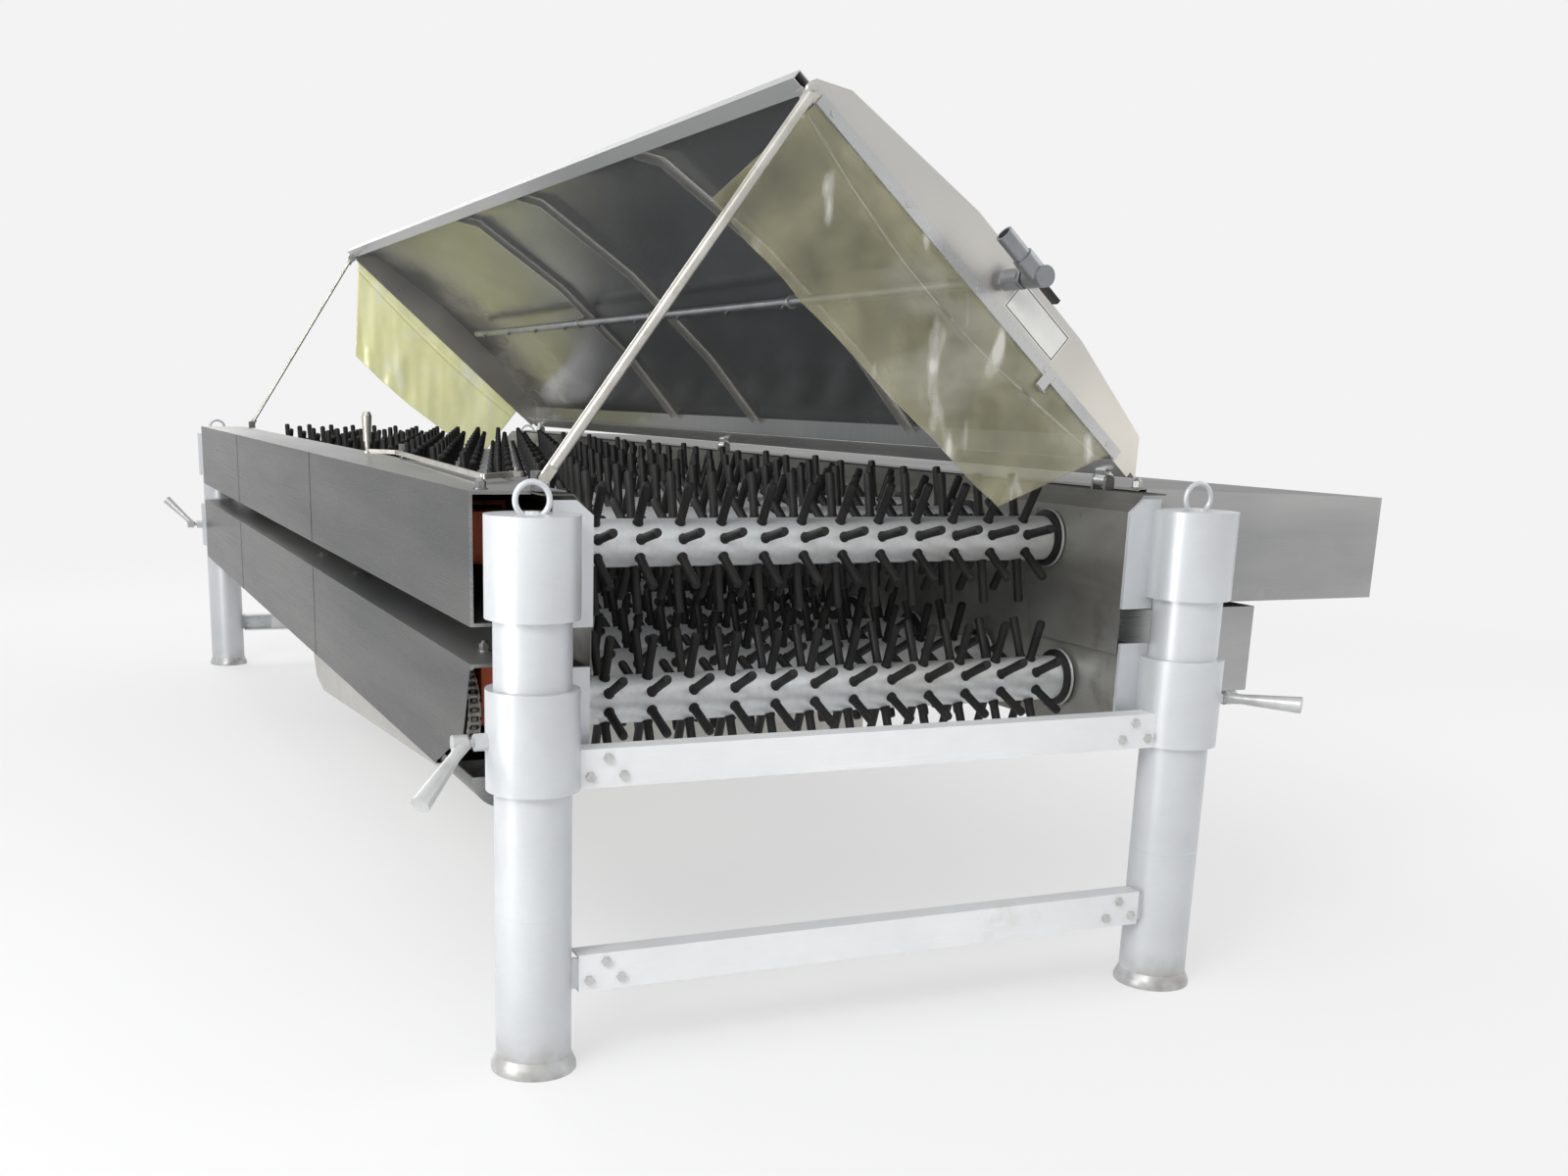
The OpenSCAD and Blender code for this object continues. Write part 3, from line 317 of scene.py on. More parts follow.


# per finish: drawn and grain are the stretch of patches and brush lines, patch the patches' size; the
# colour's face weights are painted light and shade, each face lighter or darker by the way it points
finishes = {
    "post": {"base": (0.62, 0.64, 0.66), "dark": (0.52, 0.535, 0.55), "metallic": 0.35, "rough": 0.36,
             "roughSpread": 0.08, "patch": 2.3, "grain": (60, 60, 260), "bump": 0.2, "lineShare": 0.10,
             "stain": (0.46, 0.46, 0.455), "stainSize": 7.0, "stainFrom": 0.60, "stainShare": 0.30,
             "dirtTop": 0.10},
    "beam": {"base": (0.80, 0.81, 0.82), "dark": (0.71, 0.72, 0.73), "metallic": 0.08, "rough": 0.46,
             "roughSpread": 0.08, "patch": 3.0, "grain": (12, 90, 160), "bump": 0.25, "lineShare": 0.08,
             "stain": (0.52, 0.47, 0.40), "stainSize": 5.0, "stainFrom": 0.62, "stainShare": 0.5},
    "bracket": {"base": (0.74, 0.76, 0.77), "dark": (0.64, 0.65, 0.66), "metallic": 0.15, "rough": 0.45,
                "roughSpread": 0.08, "patch": 3.0, "grain": (40, 90, 12), "bump": 0.2, "lineShare": 0.1,
                "stain": (0.42, 0.40, 0.36), "stainShare": 0.3},
    "case": {"base": (0.335, 0.335, 0.325), "dark": (0.17, 0.175, 0.18), "metallic": 0.9, "rough": 0.29,
             "roughSpread": 0.05, "patch": 1.0, "drawn": (1.4, 0.42, 3.4), "grain": (420, 1.6, 420),
             "endGrain": (2.0, 420, 420), "bump": 0.03, "lineShare": 0.07, "edge": 0.55,
             "faceWeights": (0.78, 1.1, 1.9), "matt": (0.9, 1.0, 1.25), "stain": (0.27, 0.25, 0.205),
             "stainSize": 3.0, "stainFrom": 0.56, "stainShare": 0.35},
    "cover": {"base": (0.33, 0.33, 0.325), "dark": (0.22, 0.222, 0.222), "metallic": 0.9, "rough": 0.30,
              "roughSpread": 0.05, "patch": 1.3, "drawn": (0.6, 1.0, 2.4), "grain": (420, 1.6, 420),
              "endGrain": (2.0, 420, 420), "bump": 0.03, "lineShare": 0.07, "edge": 0.6,
              "faceWeights": (0.6, 1.5, 1.0), "matt": (0.9, 1.0, 1.5), "stain": (0.40, 0.38, 0.34),
              "stainSize": 2.4, "stainFrom": 0.55, "stainShare": 0.45},
    "plate": {"base": (0.150, 0.148, 0.138), "dark": (0.068, 0.066, 0.060), "metallic": 0.75, "rough": 0.38,
              "roughSpread": 0.10, "patch": 2.6, "drawn": (1, 0.6, 1.4), "grain": (200, 3.0, 90), "bump": 0.2,
              "lineShare": 0.2, "edge": 0.3, "faceWeights": (3.1, 1.2, 0.6), "matt": (1.0, 1.0, 2.0),
              "stain": (0.055, 0.052, 0.045), "stainSize": 6.0, "stainShare": 0.6},
    "pan": {"base": (0.56, 0.55, 0.51), "dark": (0.42, 0.41, 0.38), "metallic": 0.7, "rough": 0.36,
            "roughSpread": 0.08, "patch": 1.6, "grain": (180, 3.0, 180), "bump": 0.15, "lineShare": 0.2,
            "stain": (0.36, 0.32, 0.25), "stainSize": 4.0, "stainShare": 0.5},
    "rod": {"base": (0.58, 0.57, 0.53), "dark": (0.42, 0.40, 0.36), "metallic": 0.75, "rough": 0.34,
            "roughSpread": 0.08, "patch": 9.0, "grain": (30, 90, 30), "bump": 0.15, "lineShare": 0.2,
            "stain": (0.30, 0.25, 0.19), "stainSize": 24.0, "stainShare": 0.5},
    "bar": {"base": (0.62, 0.62, 0.60), "dark": (0.45, 0.46, 0.46), "metallic": 0.7, "rough": 0.28,
            "roughSpread": 0.04, "patch": 2.5, "grain": (9, 90, 9), "bump": 0.02, "lineShare": 0.05},
    "pipe": {"base": (0.30, 0.31, 0.33), "dark": (0.20, 0.21, 0.225), "metallic": 0.85, "rough": 0.36,
             "roughSpread": 0.08, "patch": 7.0, "grain": (60, 8, 60), "bump": 0.15, "lineShare": 0.2,
             "stain": (0.20, 0.18, 0.15), "stainSize": 18.0, "stainShare": 0.4},
    "bolt": {"base": (0.62, 0.62, 0.61), "dark": (0.46, 0.455, 0.44), "metallic": 0.5, "rough": 0.40,
             "roughSpread": 0.08, "patch": 30.0, "grain": (200, 200, 200), "bump": 0.15, "lineShare": 0.15,
             "stain": (0.36, 0.32, 0.26), "stainSize": 40.0, "stainShare": 0.4},
    "lever": {"base": (0.55, 0.56, 0.55), "dark": (0.42, 0.425, 0.42), "metallic": 0.45, "rough": 0.42,
              "roughSpread": 0.07, "patch": 14.0, "grain": (90, 90, 90), "bump": 0.15, "lineShare": 0.12,
              "stain": (0.31, 0.29, 0.25), "stainSize": 22.0, "stainShare": 0.4},
    "bearing": {"base": (0.66, 0.135, 0.04), "dark": (0.46, 0.09, 0.035), "metallic": 0.0, "rough": 0.5,
                "roughSpread": 0.1, "patch": 8.0, "grain": (60, 60, 60), "bump": 0.3, "lineShare": 0.1,
                "stain": (0.09, 0.06, 0.05), "stainSize": 14.0, "stainShare": 0.7},
    "motor": {"base": (0.12, 0.20, 0.33), "dark": (0.08, 0.13, 0.22), "metallic": 0.0, "rough": 0.48,
              "roughSpread": 0.08, "patch": 6.0, "grain": (50, 50, 50), "bump": 0.2, "lineShare": 0.1,
              "stain": (0.10, 0.10, 0.10), "stainSize": 10.0, "stainShare": 0.5},
    "sign": {"base": (0.80, 0.80, 0.77), "dark": (0.74, 0.74, 0.71), "metallic": 0.1, "rough": 0.35,
             "roughSpread": 0.05, "patch": 12.0, "grain": (60, 60, 60), "bump": 0.05, "lineShare": 0.05},
    "signLine": {"base": (0.10, 0.10, 0.095), "dark": (0.07, 0.07, 0.065), "metallic": 0.0, "rough": 0.5,
                 "roughSpread": 0.05, "patch": 12.0, "grain": (60, 60, 60), "bump": 0.05, "lineShare": 0.05},
    "chain": {"base": (0.42, 0.40, 0.37), "dark": (0.20, 0.19, 0.175), "metallic": 0.7, "rough": 0.40,
              "roughSpread": 0.1, "patch": 20.0, "grain": (150, 150, 150), "bump": 0.2, "lineShare": 0.2,
              "stain": (0.07, 0.06, 0.05), "stainSize": 30.0, "stainShare": 0.6},
}
made = {key: sheetMetal(key + "Finish", f) for key, f in finishes.items()}


def hoodMetal(f):
    # zone 0 is the warm outside, 1 the dark polished lining, 2 the pale ribs and lip, 3 the grey edge channel
    finish, tree, shader = blank("hoodFinish")
    patches = objectNoise(tree, (1, 0.35, 1), 3, f["patch"])
    clouds = objectNoise(tree, (1, 0.5, 1.3), 5, 1.9, 0.6)
    lines = objectNoise(tree, f["grain"], 5, 1.0, 0.7)
    endLines = objectNoise(tree, (14, 240, 14), 4, 1.0, 0.7)
    zone = tree.nodes.new("ShaderNodeAttribute")
    zone.attribute_name = "zone"
    isLining = spread(tree, zone.outputs["Fac"], 0.0, 1.0)
    isRib = spread(tree, zone.outputs["Fac"], 1.0, 2.0)
    isEdge = spread(tree, zone.outputs["Fac"], 2.0, 3.0)
    outside = blendColour(tree, spread(tree, patches, 0.35, 0.7), f["outer"], f["outerDark"])
    brushed = mixValue(tree, facing(tree, "Y"), lines, endLines)
    outside = blendColour(tree, spread(tree, brushed, 0.35, 0.75, 0.0, 0.14), outside,
                          tuple(0.7 * c for c in f["outer"]))
    # painted shade: the end plates turn greyer towards the hood's top
    height = spread(tree, coordinate(tree, "Z"), 1.38, 1.85, 0.0, 0.9)
    outside = blendColour(tree, combine(tree, height, facing(tree, "Y")), outside, f["outerDark"])
    inside = blendColour(tree, spread(tree, patches, 0.38, 0.62), f["inner"], f["innerDark"])
    inside = blendColour(tree, spread(tree, lines, 0.35, 0.75, 0.0, 0.3), inside,
                         tuple(0.7 * c for c in f["innerDark"]))
    # paler, warmer reflections gather towards the rear end of the lining
    rearShare = combine(tree, spread(tree, coordinate(tree, "Y"), 0.4, 2.1), spread(tree, clouds, 0.44, 0.60))
    inside = blendColour(tree, combine(tree, rearShare, 0.8), inside, f["innerPale"])
    colour = blendColour(tree, isLining, outside, inside)
    colour = blendColour(tree, isRib, colour, f["rib"])
    # painted shade: the edge channel's faces that point up or down are made darker
    edge = scaled(tree, blendColour(tree, patches, f["edge"], f["edgeDark"]), byFacing(tree, (1.0, 1.0, 0.8)))
    tree.links.new(blendColour(tree, isEdge, colour, edge), shader.inputs["Base Color"])
    # metallic: 0.85 outside, 0.45 on the lining, half as much again on ribs and lip, less on the edge channel
    metal = combine(tree, spread(tree, isRib, 0.0, 1.0, 1.0, 1.5),
                    spread(tree, isLining, 0.0, 1.0, 0.85, 0.45))
    tree.links.new(combine(tree, metal, spread(tree, isEdge, 0.0, 1.0, 1.0, 0.3)), shader.inputs["Metallic"])
    outerRough = spread(tree, lines, 0.25, 0.8, 0.26, 0.40)
    innerRough = spread(tree, patches, 0.3, 0.7, 0.16, 0.28)
    tree.links.new(mixValue(tree, isLining, outerRough, innerRough), shader.inputs["Roughness"])
    ripple(tree, shader, clouds, 0.12, 0.004)
    return finish


def rubberFinish(name, f):
    # black rubber, greyer and browner in patches, with a fine mottled surface
    finish, tree, shader = blank(name)
    dust = objectNoise(tree, (1, 1, 1), 6, f["dustSize"], 0.65)
    fine = objectNoise(tree, (1, 1, 1), 3, 420.0)
    colour = blendColour(tree, spread(tree, dust, 0.45, 0.75, 0.0, f["dustShare"]), f["base"], f["dust"])
    tree.links.new(colour, shader.inputs["Base Color"])
    tree.links.new(spread(tree, dust, 0.3, 0.8, 0.46, 0.66), shader.inputs["Roughness"])
    shader.inputs["Specular IOR Level"].default_value = 0.3
    ripple(tree, shader, fine, 0.25, 0.0006)
    return finish


def rollerSteel(f):
    # pale galvanised tube between the walls, dark oiled steel on the shaft ends and sprockets
    finish, tree, shader = blank("rollerSteel")
    reach = combine(tree, coordinate(tree, "X"), 0.0, "ABSOLUTE")
    outside = spread(tree, reach, f["wallInside"], f["wallInside"] + 0.002)
    spangle = objectNoise(tree, (1, 1, 1), 6, f["spangle"], 0.6)
    broad = objectNoise(tree, (0.6, 1, 1), 4, 4.0)
    colour = blendColour(tree, spread(tree, spangle, 0.35, 0.7, 0.0, 0.5), f["base"], f["dark"])
    colour = blendColour(tree, spread(tree, broad, 0.5, 0.7, 0.0, 0.45), colour, f["stain"])
    tree.links.new(blendColour(tree, outside, colour, f["oiled"]), shader.inputs["Base Color"])
    shader.inputs["Metallic"].default_value = 0.45
    tree.links.new(spread(tree, spangle, 0.3, 0.7, 0.36, 0.55), shader.inputs["Roughness"])
    ripple(tree, shader, spangle, 0.15, 0.0008)
    return finish


def curtainSheet(name, f):
    # clear yellowed sheet: cloudy patches of two colours that also differ in cover, painted pale glints,
    # upright bands of painted highlight that also make the sheet opaque, and broad soft waves in the bump;
    # glint is low, high and share of the painted glints
    finish, tree, shader = blank(name)
    cloud = objectNoise(tree, (1, 1, 1), 5, f["cloud"], 0.6)
    fine = objectNoise(tree, (1, 1, 1), 6, 26.0, 0.6)
    glintNoise = objectNoise(tree, (1.0, 1, 2.4), 3, 3.0, 0.5)
    waves = objectNoise(tree, (1.6, 1, 1), 1, 5.0, 0.4)
    # painted highlight: upright glossy bands, pale and opaque
    highlightStreaks = spread(tree, objectNoise(tree, (4.6, 1, 1.7), 2, 3.0, 0.4), 0.61, 0.68, 0.0, f["highlightShare"])
    colour = blendColour(tree, spread(tree, cloud, 0.35, 0.68), f["pale"], f["deep"])
    # painted highlight: pale glints where the noise runs high
    low, high, share = f["glint"]
    colour = blendColour(tree, spread(tree, glintNoise, low, high, 0.0, share), colour, f["glintColour"])
    tree.links.new(blendColour(tree, highlightStreaks, colour, f["highlightColour"]), shader.inputs["Base Color"])
    tree.links.new(spread(tree, fine, 0.35, 0.7, 0.05, 0.18), shader.inputs["Roughness"])
    opacity = spread(tree, cloud, 0.35, 0.68, *f["cover"])
    tree.links.new(combine(tree, opacity, highlightStreaks, "MAXIMUM"), shader.inputs["Alpha"])
    shader.inputs["Coat Weight"].default_value = 1.0
    shader.inputs["Coat Roughness"].default_value = 0.05
    shader.inputs["Subsurface Weight"].default_value = f.get("glow", 0.0)
    shader.inputs["Subsurface Scale"].default_value = 0.02
    shader.inputs["Subsurface Radius"].default_value = (0.8, 0.9, 0.5)
    ripple(tree, shader, waves, 0.8, 0.05)
    return finish


hoodFinish = hoodMetal({
    "outer": (0.87, 0.82, 0.735), "outerDark": (0.50, 0.495, 0.475), "inner": (0.165, 0.170, 0.172),
    "innerDark": (0.085, 0.090, 0.095), "innerPale": (0.60, 0.58, 0.53), "rib": (0.86, 0.87, 0.87),
    "edge": (0.44, 0.445, 0.445), "edgeDark": (0.30, 0.305, 0.305), "patch": 1.3, "grain": (3.0, 90, 3.0)})
rubber = rubberFinish("fingerRubber", {
    "base": (0.009, 0.009, 0.009), "dust": (0.050, 0.045, 0.038), "dustSize": 9.0, "dustShare": 0.35})
tubeSteel = rollerSteel({
    "base": (0.66, 0.68, 0.69), "dark": (0.50, 0.52, 0.53), "stain": (0.44, 0.41, 0.36),
    "oiled": (0.13, 0.12, 0.11), "spangle": 60.0, "wallInside": 0.655})
curtainFinish = curtainSheet("frontCurtainSheet", {
    "pale": (0.37, 0.35, 0.215), "deep": (0.17, 0.16, 0.08), "glintColour": (0.74, 0.74, 0.64), "cloud": 4.5,
    "cover": (0.52, 0.42), "highlightShare": 0.62, "highlightColour": (0.90, 0.90, 0.84), "glint": (0.52, 0.78, 0.45)})
# the rear sheet is much paler than the front one: partly its own yellow, partly painted light that stands in
# for the light shining through it from behind
rearCurtainFinish = curtainSheet("rearCurtainSheet", {
    "pale": (0.93, 0.91, 0.46), "deep": (0.86, 0.83, 0.35), "glintColour": (0.96, 0.96, 0.78), "cloud": 4.0,
    "cover": (0.95, 0.90), "highlightShare": 0.4, "highlightColour": (0.90, 0.90, 0.84), "glint": (0.60, 0.78, 0.35),
    "glow": 0.55})
grip = rubberFinish("gripPlastic", {
    "base": (0.02, 0.02, 0.02), "dust": (0.07, 0.07, 0.07), "dustSize": 20.0, "dustShare": 0.4})
print("finishes made")


def smoothCopy(name, finish, slot):
    # the node's own triangles as a piece with softer shading, in place of the node
    source = cad[name].data
    points = np.empty(len(source.vertices) * 3)
    source.vertices.foreach_get("co", points)
    source.calc_loop_triangles()
    corners = np.empty(len(source.loop_triangles) * 3, dtype=np.int32)
    source.loop_triangles.foreach_get("vertices", corners)
    return piece(name + "Dressed", points.reshape(-1, 3), corners.reshape(-1, 3), cad[name]["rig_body"], slot,
                 finish, (name,), crease=32, clean=joinFlat)


# node: its finish and its material slot
smoothNodes = {
    "leg_posts": ("post", "post_steel"), "lower_sleeves": ("post", "sleeve_steel"),
    "upper_sleeves": ("post", "sleeve_steel"), "spray_pipe": ("pipe", "pipe_steel"),
    "front_prop_rod": ("rod", "rod_steel"), "rear_stay": ("rod", "rod_steel"),
    "latch_lever": ("rod", "rod_steel"), "clamp_lever_front_left": ("lever", "lever_steel"),
    "clamp_lever_front_right": ("lever", "lever_steel"), "clamp_lever_rear_left": ("lever", "lever_steel"),
    "clamp_lever_rear_right": ("lever", "lever_steel"), "lower_bearings": ("bearing", "bearing_paint"),
    "upper_bearings": ("bearing", "bearing_paint"), "lower_motor": ("motor", "motor_paint"),
    "upper_motor": ("motor", "motor_paint"), "curtain_bars": ("bar", "bar_steel")}
for node, (key, slotName) in smoothNodes.items():
    smoothCopy(node, made[key], slotName)
# nodes that keep their own mesh
flatNodes = {
    "base_beams": made["beam"], "frame_beams": made["beam"], "base_bolts": made["bolt"],
    "frame_bolts": made["bolt"], "lower_side_plates": made["plate"], "upper_side_plates": made["plate"],
    "lower_chain_case": made["case"], "upper_chain_case": made["case"], "lower_right_case": made["cover"],
    "motor_housing": made["cover"], "feather_pan": made["pan"], "valve_lever": grip}
for node, finish in flatNodes.items():
    cad[node].data.materials.clear()
    cad[node].data.materials.append(finish)
print("CAD nodes dressed")

# the hood's outline across, from the free edge to the hinge, in shares of its width
hoodLine = np.array([[0, 0], [0, 0.032], [0.061, 0.068], [0.385, 0.109], [0.716, 0.106], [0.949, 0.074],
                     [1, 0.012]])
hoodLine = (hoodLine - [1, 0]) * hoodSeat["width"]
zones = {"liningFrom": 0.0012, "liningTo": 0.0034, "ribsTo": 0.030, "edgeTo": 0.001,
         "lipU": (-0.062, -0.001), "lipV": (0.013, 0.018)}


def markZones(thing, z):
    # by how far a face's middle lies from the hood's outline: lining 1, ribs 2, and 0 outside; the lip by the
    # hinge is 2 too, and the channel along the free edge 3
    mesh = thing.data
    middle = np.empty(len(mesh.polygons) * 3)
    mesh.polygons.foreach_get("center", middle)
    middle = middle.reshape(-1, 3)
    c, s = math.cos(hoodSeat["angle"]), math.sin(hoodSeat["angle"])
    dx, dz = middle[:, 0] - hoodSeat["hingeX"], middle[:, 2] - hoodSeat["hingeZ"]
    flat = np.stack([dx * c - dz * s, dx * s + dz * c], -1)
    a, b = hoodLine[:-1], hoodLine[1:]
    run = b - a
    share = np.clip(((flat[:, None] - a) * run).sum(-1) / (run ** 2).sum(-1), 0, 1)
    gap = np.linalg.norm(flat[:, None] - a - share[..., None] * run, axis=-1).min(1)
    u, v = flat.T
    atEdge = u < z["edgeTo"] - hoodSeat["width"]
    onLip = (u > z["lipU"][0]) & (u < z["lipU"][1]) & (v > z["lipV"][0]) & (v < z["lipV"][1])
    isLining = (gap > z["liningFrom"]) & (gap < z["liningTo"])
    isRib = (gap >= z["liningTo"]) & (gap < z["ribsTo"])
    zone = np.select([atEdge, onLip, isLining, isRib], [3.0, 2.0, 1.0, 2.0], 0.0)
    mesh.attributes.new("zone", "FLOAT", "FACE").data.foreach_set("value", zone)


markZones(smoothCopy("hood_shell", hoodFinish, "hood_steel"), zones)
smoothCopy("hood_end_plates", hoodFinish, "hood_steel")
print("hood dressed")

tube = {"radius": 0.054, "halfLength": 0.652, "disc": 0.071, "discThick": 0.006, "shaft": 0.020,
        "shaftSoft": 0.002, "leftEnd": -0.877, "rightEnd": 0.760, "sides": 40, "shaftSides": 24}
# profiles run along the axis as (place, radius)
finger = {"count": 12, "rows": 8, "pitch": 0.101, "sides": 10,
          "profile": [(-0.004, 0.0), (-0.004, 0.0128), (0.003, 0.0128), (0.008, 0.0106), (0.055, 0.0104),
                      (0.096, 0.0110), (0.1035, 0.0098), (0.1053, 0.0060), (0.1053, 0.0)]}
seal = {"sides": 36, "profile": [(0.634, 0.0545), (0.634, 0.060), (0.640, 0.0695), (0.6455, 0.0695),
                                 (0.6455, 0.0545)]}
# root and tip are counted from the pitch circle
sprocket = {"root": 0.0061, "tip": 0.0062, "chamfer": 0.004, "halfThick": 0.0055, "halfTip": 0.0035,
            "hub": 0.034, "bore": 0.020, "hubEnd": 0.022, "toothSteps": 8, "flatness": 0.72}


def sprocketPart(y, z):
    # radius = root + (tip - root) times a flattened cosine wave, with a tooth half a pitch past every pin
    p = sprocket
    around = drive["teeth"] * p["toothSteps"]
    t = np.arange(around) * 2 * np.pi / around
    pitchRadius = drive["pitch"] / 2 / math.sin(math.pi / drive["teeth"])
    root, tip = pitchRadius - p["root"], pitchRadius + p["tip"]
    wave = np.clip(0.5 - p["flatness"] * np.cos(t * drive["teeth"]), 0, 1)
    outline = root + (tip - root) * wave
    bore, hub = np.full(around, p["bore"]), np.full(around, p["hub"])
    inner = outline - p["chamfer"]
    half, crown = p["halfThick"], p["halfTip"]
    rows = [(-half, bore), (-half, inner), (-crown, outline), (crown, outline), (half, inner), (half, hub),
            (p["hubEnd"], hub), (p["hubEnd"], bore)]
    points = np.stack([np.stack([np.full(around, drive["plane"] + x), y + r * np.sin(t), z + r * np.cos(t)],
                                -1) for x, r in rows])
    return points, gridFaces(len(rows), around, loopRows=True, loopCols=True)


def rollerTube(name, node, y, z):
    # tube with a disc at each end, the shaft through it and the sprocket on the shaft
    h, r, d, k = (tube[key] for key in ("halfLength", "radius", "disc", "discThick"))
    shaft, soft, left, right = (tube[key] for key in ("shaft", "shaftSoft", "leftEnd", "rightEnd"))
    body = [(-h, shaft), (-h, d), (k - h, d), (k - h, r), (h - k, r), (h - k, d), (h, d), (h, shaft)]
    rod = [(left, 0.0), (left, shaft - soft), (left + soft, shaft), (right - soft, shaft),
           (right, shaft - soft), (right, 0.0)]
    points, faces = joined([revolved(body, tube["sides"], (0, y, z), (1, 0, 0)),
                            revolved(rod, tube["shaftSides"], (0, y, z), (1, 0, 0)), sprocketPart(y, z)])
    piece(name, points, faces, node, "roller_steel", tubeSteel, (node,))


def rollerFingers(name, node, y, z, firstAngle):
    # finger k of row r stands at x = (k - middle) pitch and points at (0, -cos a, -sin a), where a = first
    # angle + r 45 degrees; a seal closes each end of the roller
    s, rad = np.array(finger["profile"]).T
    t = np.arange(finger["sides"]) * 2 * np.pi / finger["sides"]
    a = np.radians(firstAngle + np.arange(finger["rows"]) * 360 / finger["rows"])
    x = (np.arange(finger["count"]) - (finger["count"] - 1) / 2) * finger["pitch"]
    out = np.stack([0 * a, -np.cos(a), -np.sin(a)], -1)
    side = np.stack([0 * a, np.sin(a), -np.cos(a)], -1)
    ring = rad[:, None, None] * (np.cos(t)[:, None] * np.array([1.0, 0, 0]))[None]
    ring = ring[None] + rad[None, :, None, None] * np.sin(t)[None, None, :, None] * side[:, None, None]
    reach = (tube["radius"] + s)[None, :, None, None] * out[:, None, None]
    one = (ring + reach)[:, None] + (x[:, None] * np.array([1.0, 0, 0]))[None, :, None, None]
    one = one + np.array([0, y, z])
    points, faces = copies(one.reshape(finger["rows"] * finger["count"], -1, 3),
                           gridFaces(len(s), finger["sides"], loopCols=True))
    seals = [revolved([(e * x, radius) for x, radius in seal["profile"]], seal["sides"], (0, y, z), (1, 0, 0))
             for e in (-1, 1)]
    points, faces = joined([(points, faces)] + seals)
    piece(name, points, faces, node, "roller_steel", rubber, (node,), crease=50)


step = drive["between"] * drive["pitch"]
# name, first axis, and the angle of the first row of fingers in degrees
layers = (("upper", drive["upperY"], drive["upperZ"], -13.0),
          ("lower", drive["lowerY"], drive["lowerZ"], 20.0))
for k in range(drive["count"]):
    for layer, y0, z0, angle in layers:
        node = f"{layer}_roller_{k + 1:02d}"
        rollerTube(f"{layer}Tube{k + 1:02d}", node, y0 + k * step, z0)
        rollerFingers(f"{layer}Fingers{k + 1:02d}", node, y0 + k * step, z0, angle)
print("rollers made")

# reaches along X are counted from the chain's middle plane
link = {"plateRadius": 0.0082, "waist": 0.0056, "innerX": 0.0089, "outerX": 0.0113, "thick": 0.0021,
        "rollerRadius": 0.00595, "rollerHalf": 0.0084, "pinRadius": 0.0029, "pinHalf": 0.0143}


def chainLoop(y0, z0):
    # pins one pitch apart: along the top, round the rear sprocket, back along the bottom, round the front one
    p, teeth = drive["pitch"], drive["teeth"]
    runs = (drive["count"] - 1) * drive["between"]
    r = p / 2 / math.sin(math.pi / teeth)
    turn = np.arange(teeth // 2) * 2 * np.pi / teeth
    along = np.arange(runs) * p
    top = np.stack([y0 + along, 0 * along + z0 + r], -1)
    rear = np.stack([y0 + runs * p + r * np.sin(turn), z0 + r * np.cos(turn)], -1)
    bottom = np.stack([y0 + runs * p - along, 0 * along + z0 - r], -1)
    front = np.stack([y0 - r * np.sin(turn), z0 - r * np.cos(turn)], -1)
    return np.concatenate([top, rear, bottom, front])


def chainPiece(name, node, body, y0, z0):
    # link plates on both sides, in turn inside and outside, with a roller and a pin at every joint
    pins = chainLoop(y0, z0)
    n = len(pins)
    ahead = (np.roll(pins, -1, 0) - pins) / drive["pitch"]
    across = np.stack([-ahead[:, 1], ahead[:, 0]], -1)
    # plate outline: two round ends joined by a narrower waist
    t = np.radians([-60, -30, 0, 30, 60])
    end = link["plateRadius"] * np.stack([np.cos(t), np.sin(t)], -1)
    half, waist = drive["pitch"] / 2, link["waist"]
    outline = np.concatenate([end + [drive["pitch"], 0], [[half, waist]], -end, [[half, -waist]]])
    m = len(outline)
    flat = pins[:, None] + outline[None, :, :1] * ahead[:, None] + outline[None, :, 1:] * across[:, None]
    near = np.where(np.arange(n) % 2 == 1, link["outerX"], link["innerX"])
    starts = (np.arange(n) * 2 * m)[:, None]
    cap = np.arange(m)[::-1]
    parts = []
    for side in (-1, 1):
        faceX = [drive["plane"] + side * near, drive["plane"] + side * (near + link["thick"])]
        plate = np.stack([np.concatenate([np.broadcast_to(x[:, None, None], (n, m, 1)), flat], -1)
                          for x in faceX], 1)
        points, quads = copies(plate.reshape(n, 2 * m, 3), gridFaces(2, m, loopCols=True))
        caps = np.concatenate([cap[None] + starts, cap[None] + m + starts]).tolist()
        parts.append((points, quads.tolist() + caps))
    for radius, reach, sides in ((link["rollerRadius"], link["rollerHalf"], 10),
                                 (link["pinRadius"], link["pinHalf"], 6)):
        t = np.arange(sides) * 2 * np.pi / sides
        ring = np.stack([radius * np.cos(t), radius * np.sin(t)], -1)
        rows = [(-reach, 0.0), (-reach, 1.0), (reach, 1.0), (reach, 0.0)]
        rod = np.stack([np.concatenate([np.full((n, sides, 1), drive["plane"] + x),
                                        pins[:, None] + share * ring[None]], -1) for x, share in rows], 1)
        grid = gridFaces(len(rows), sides, loopCols=True)
        parts.append(copies(rod.reshape(n, len(rows) * sides, 3), grid))
    points, faces = joined(parts)
    piece(name, points, faces, body, "chain_steel", made["chain"], (node,), crease=40)


chainPiece("upperChainLinks", "upper_chain", "upper_frame", drive["upperY"], drive["upperZ"])
chainPiece("lowerChainLinks", "lower_chain", "lower_frame", drive["lowerY"], drive["lowerZ"])
print("chains made")

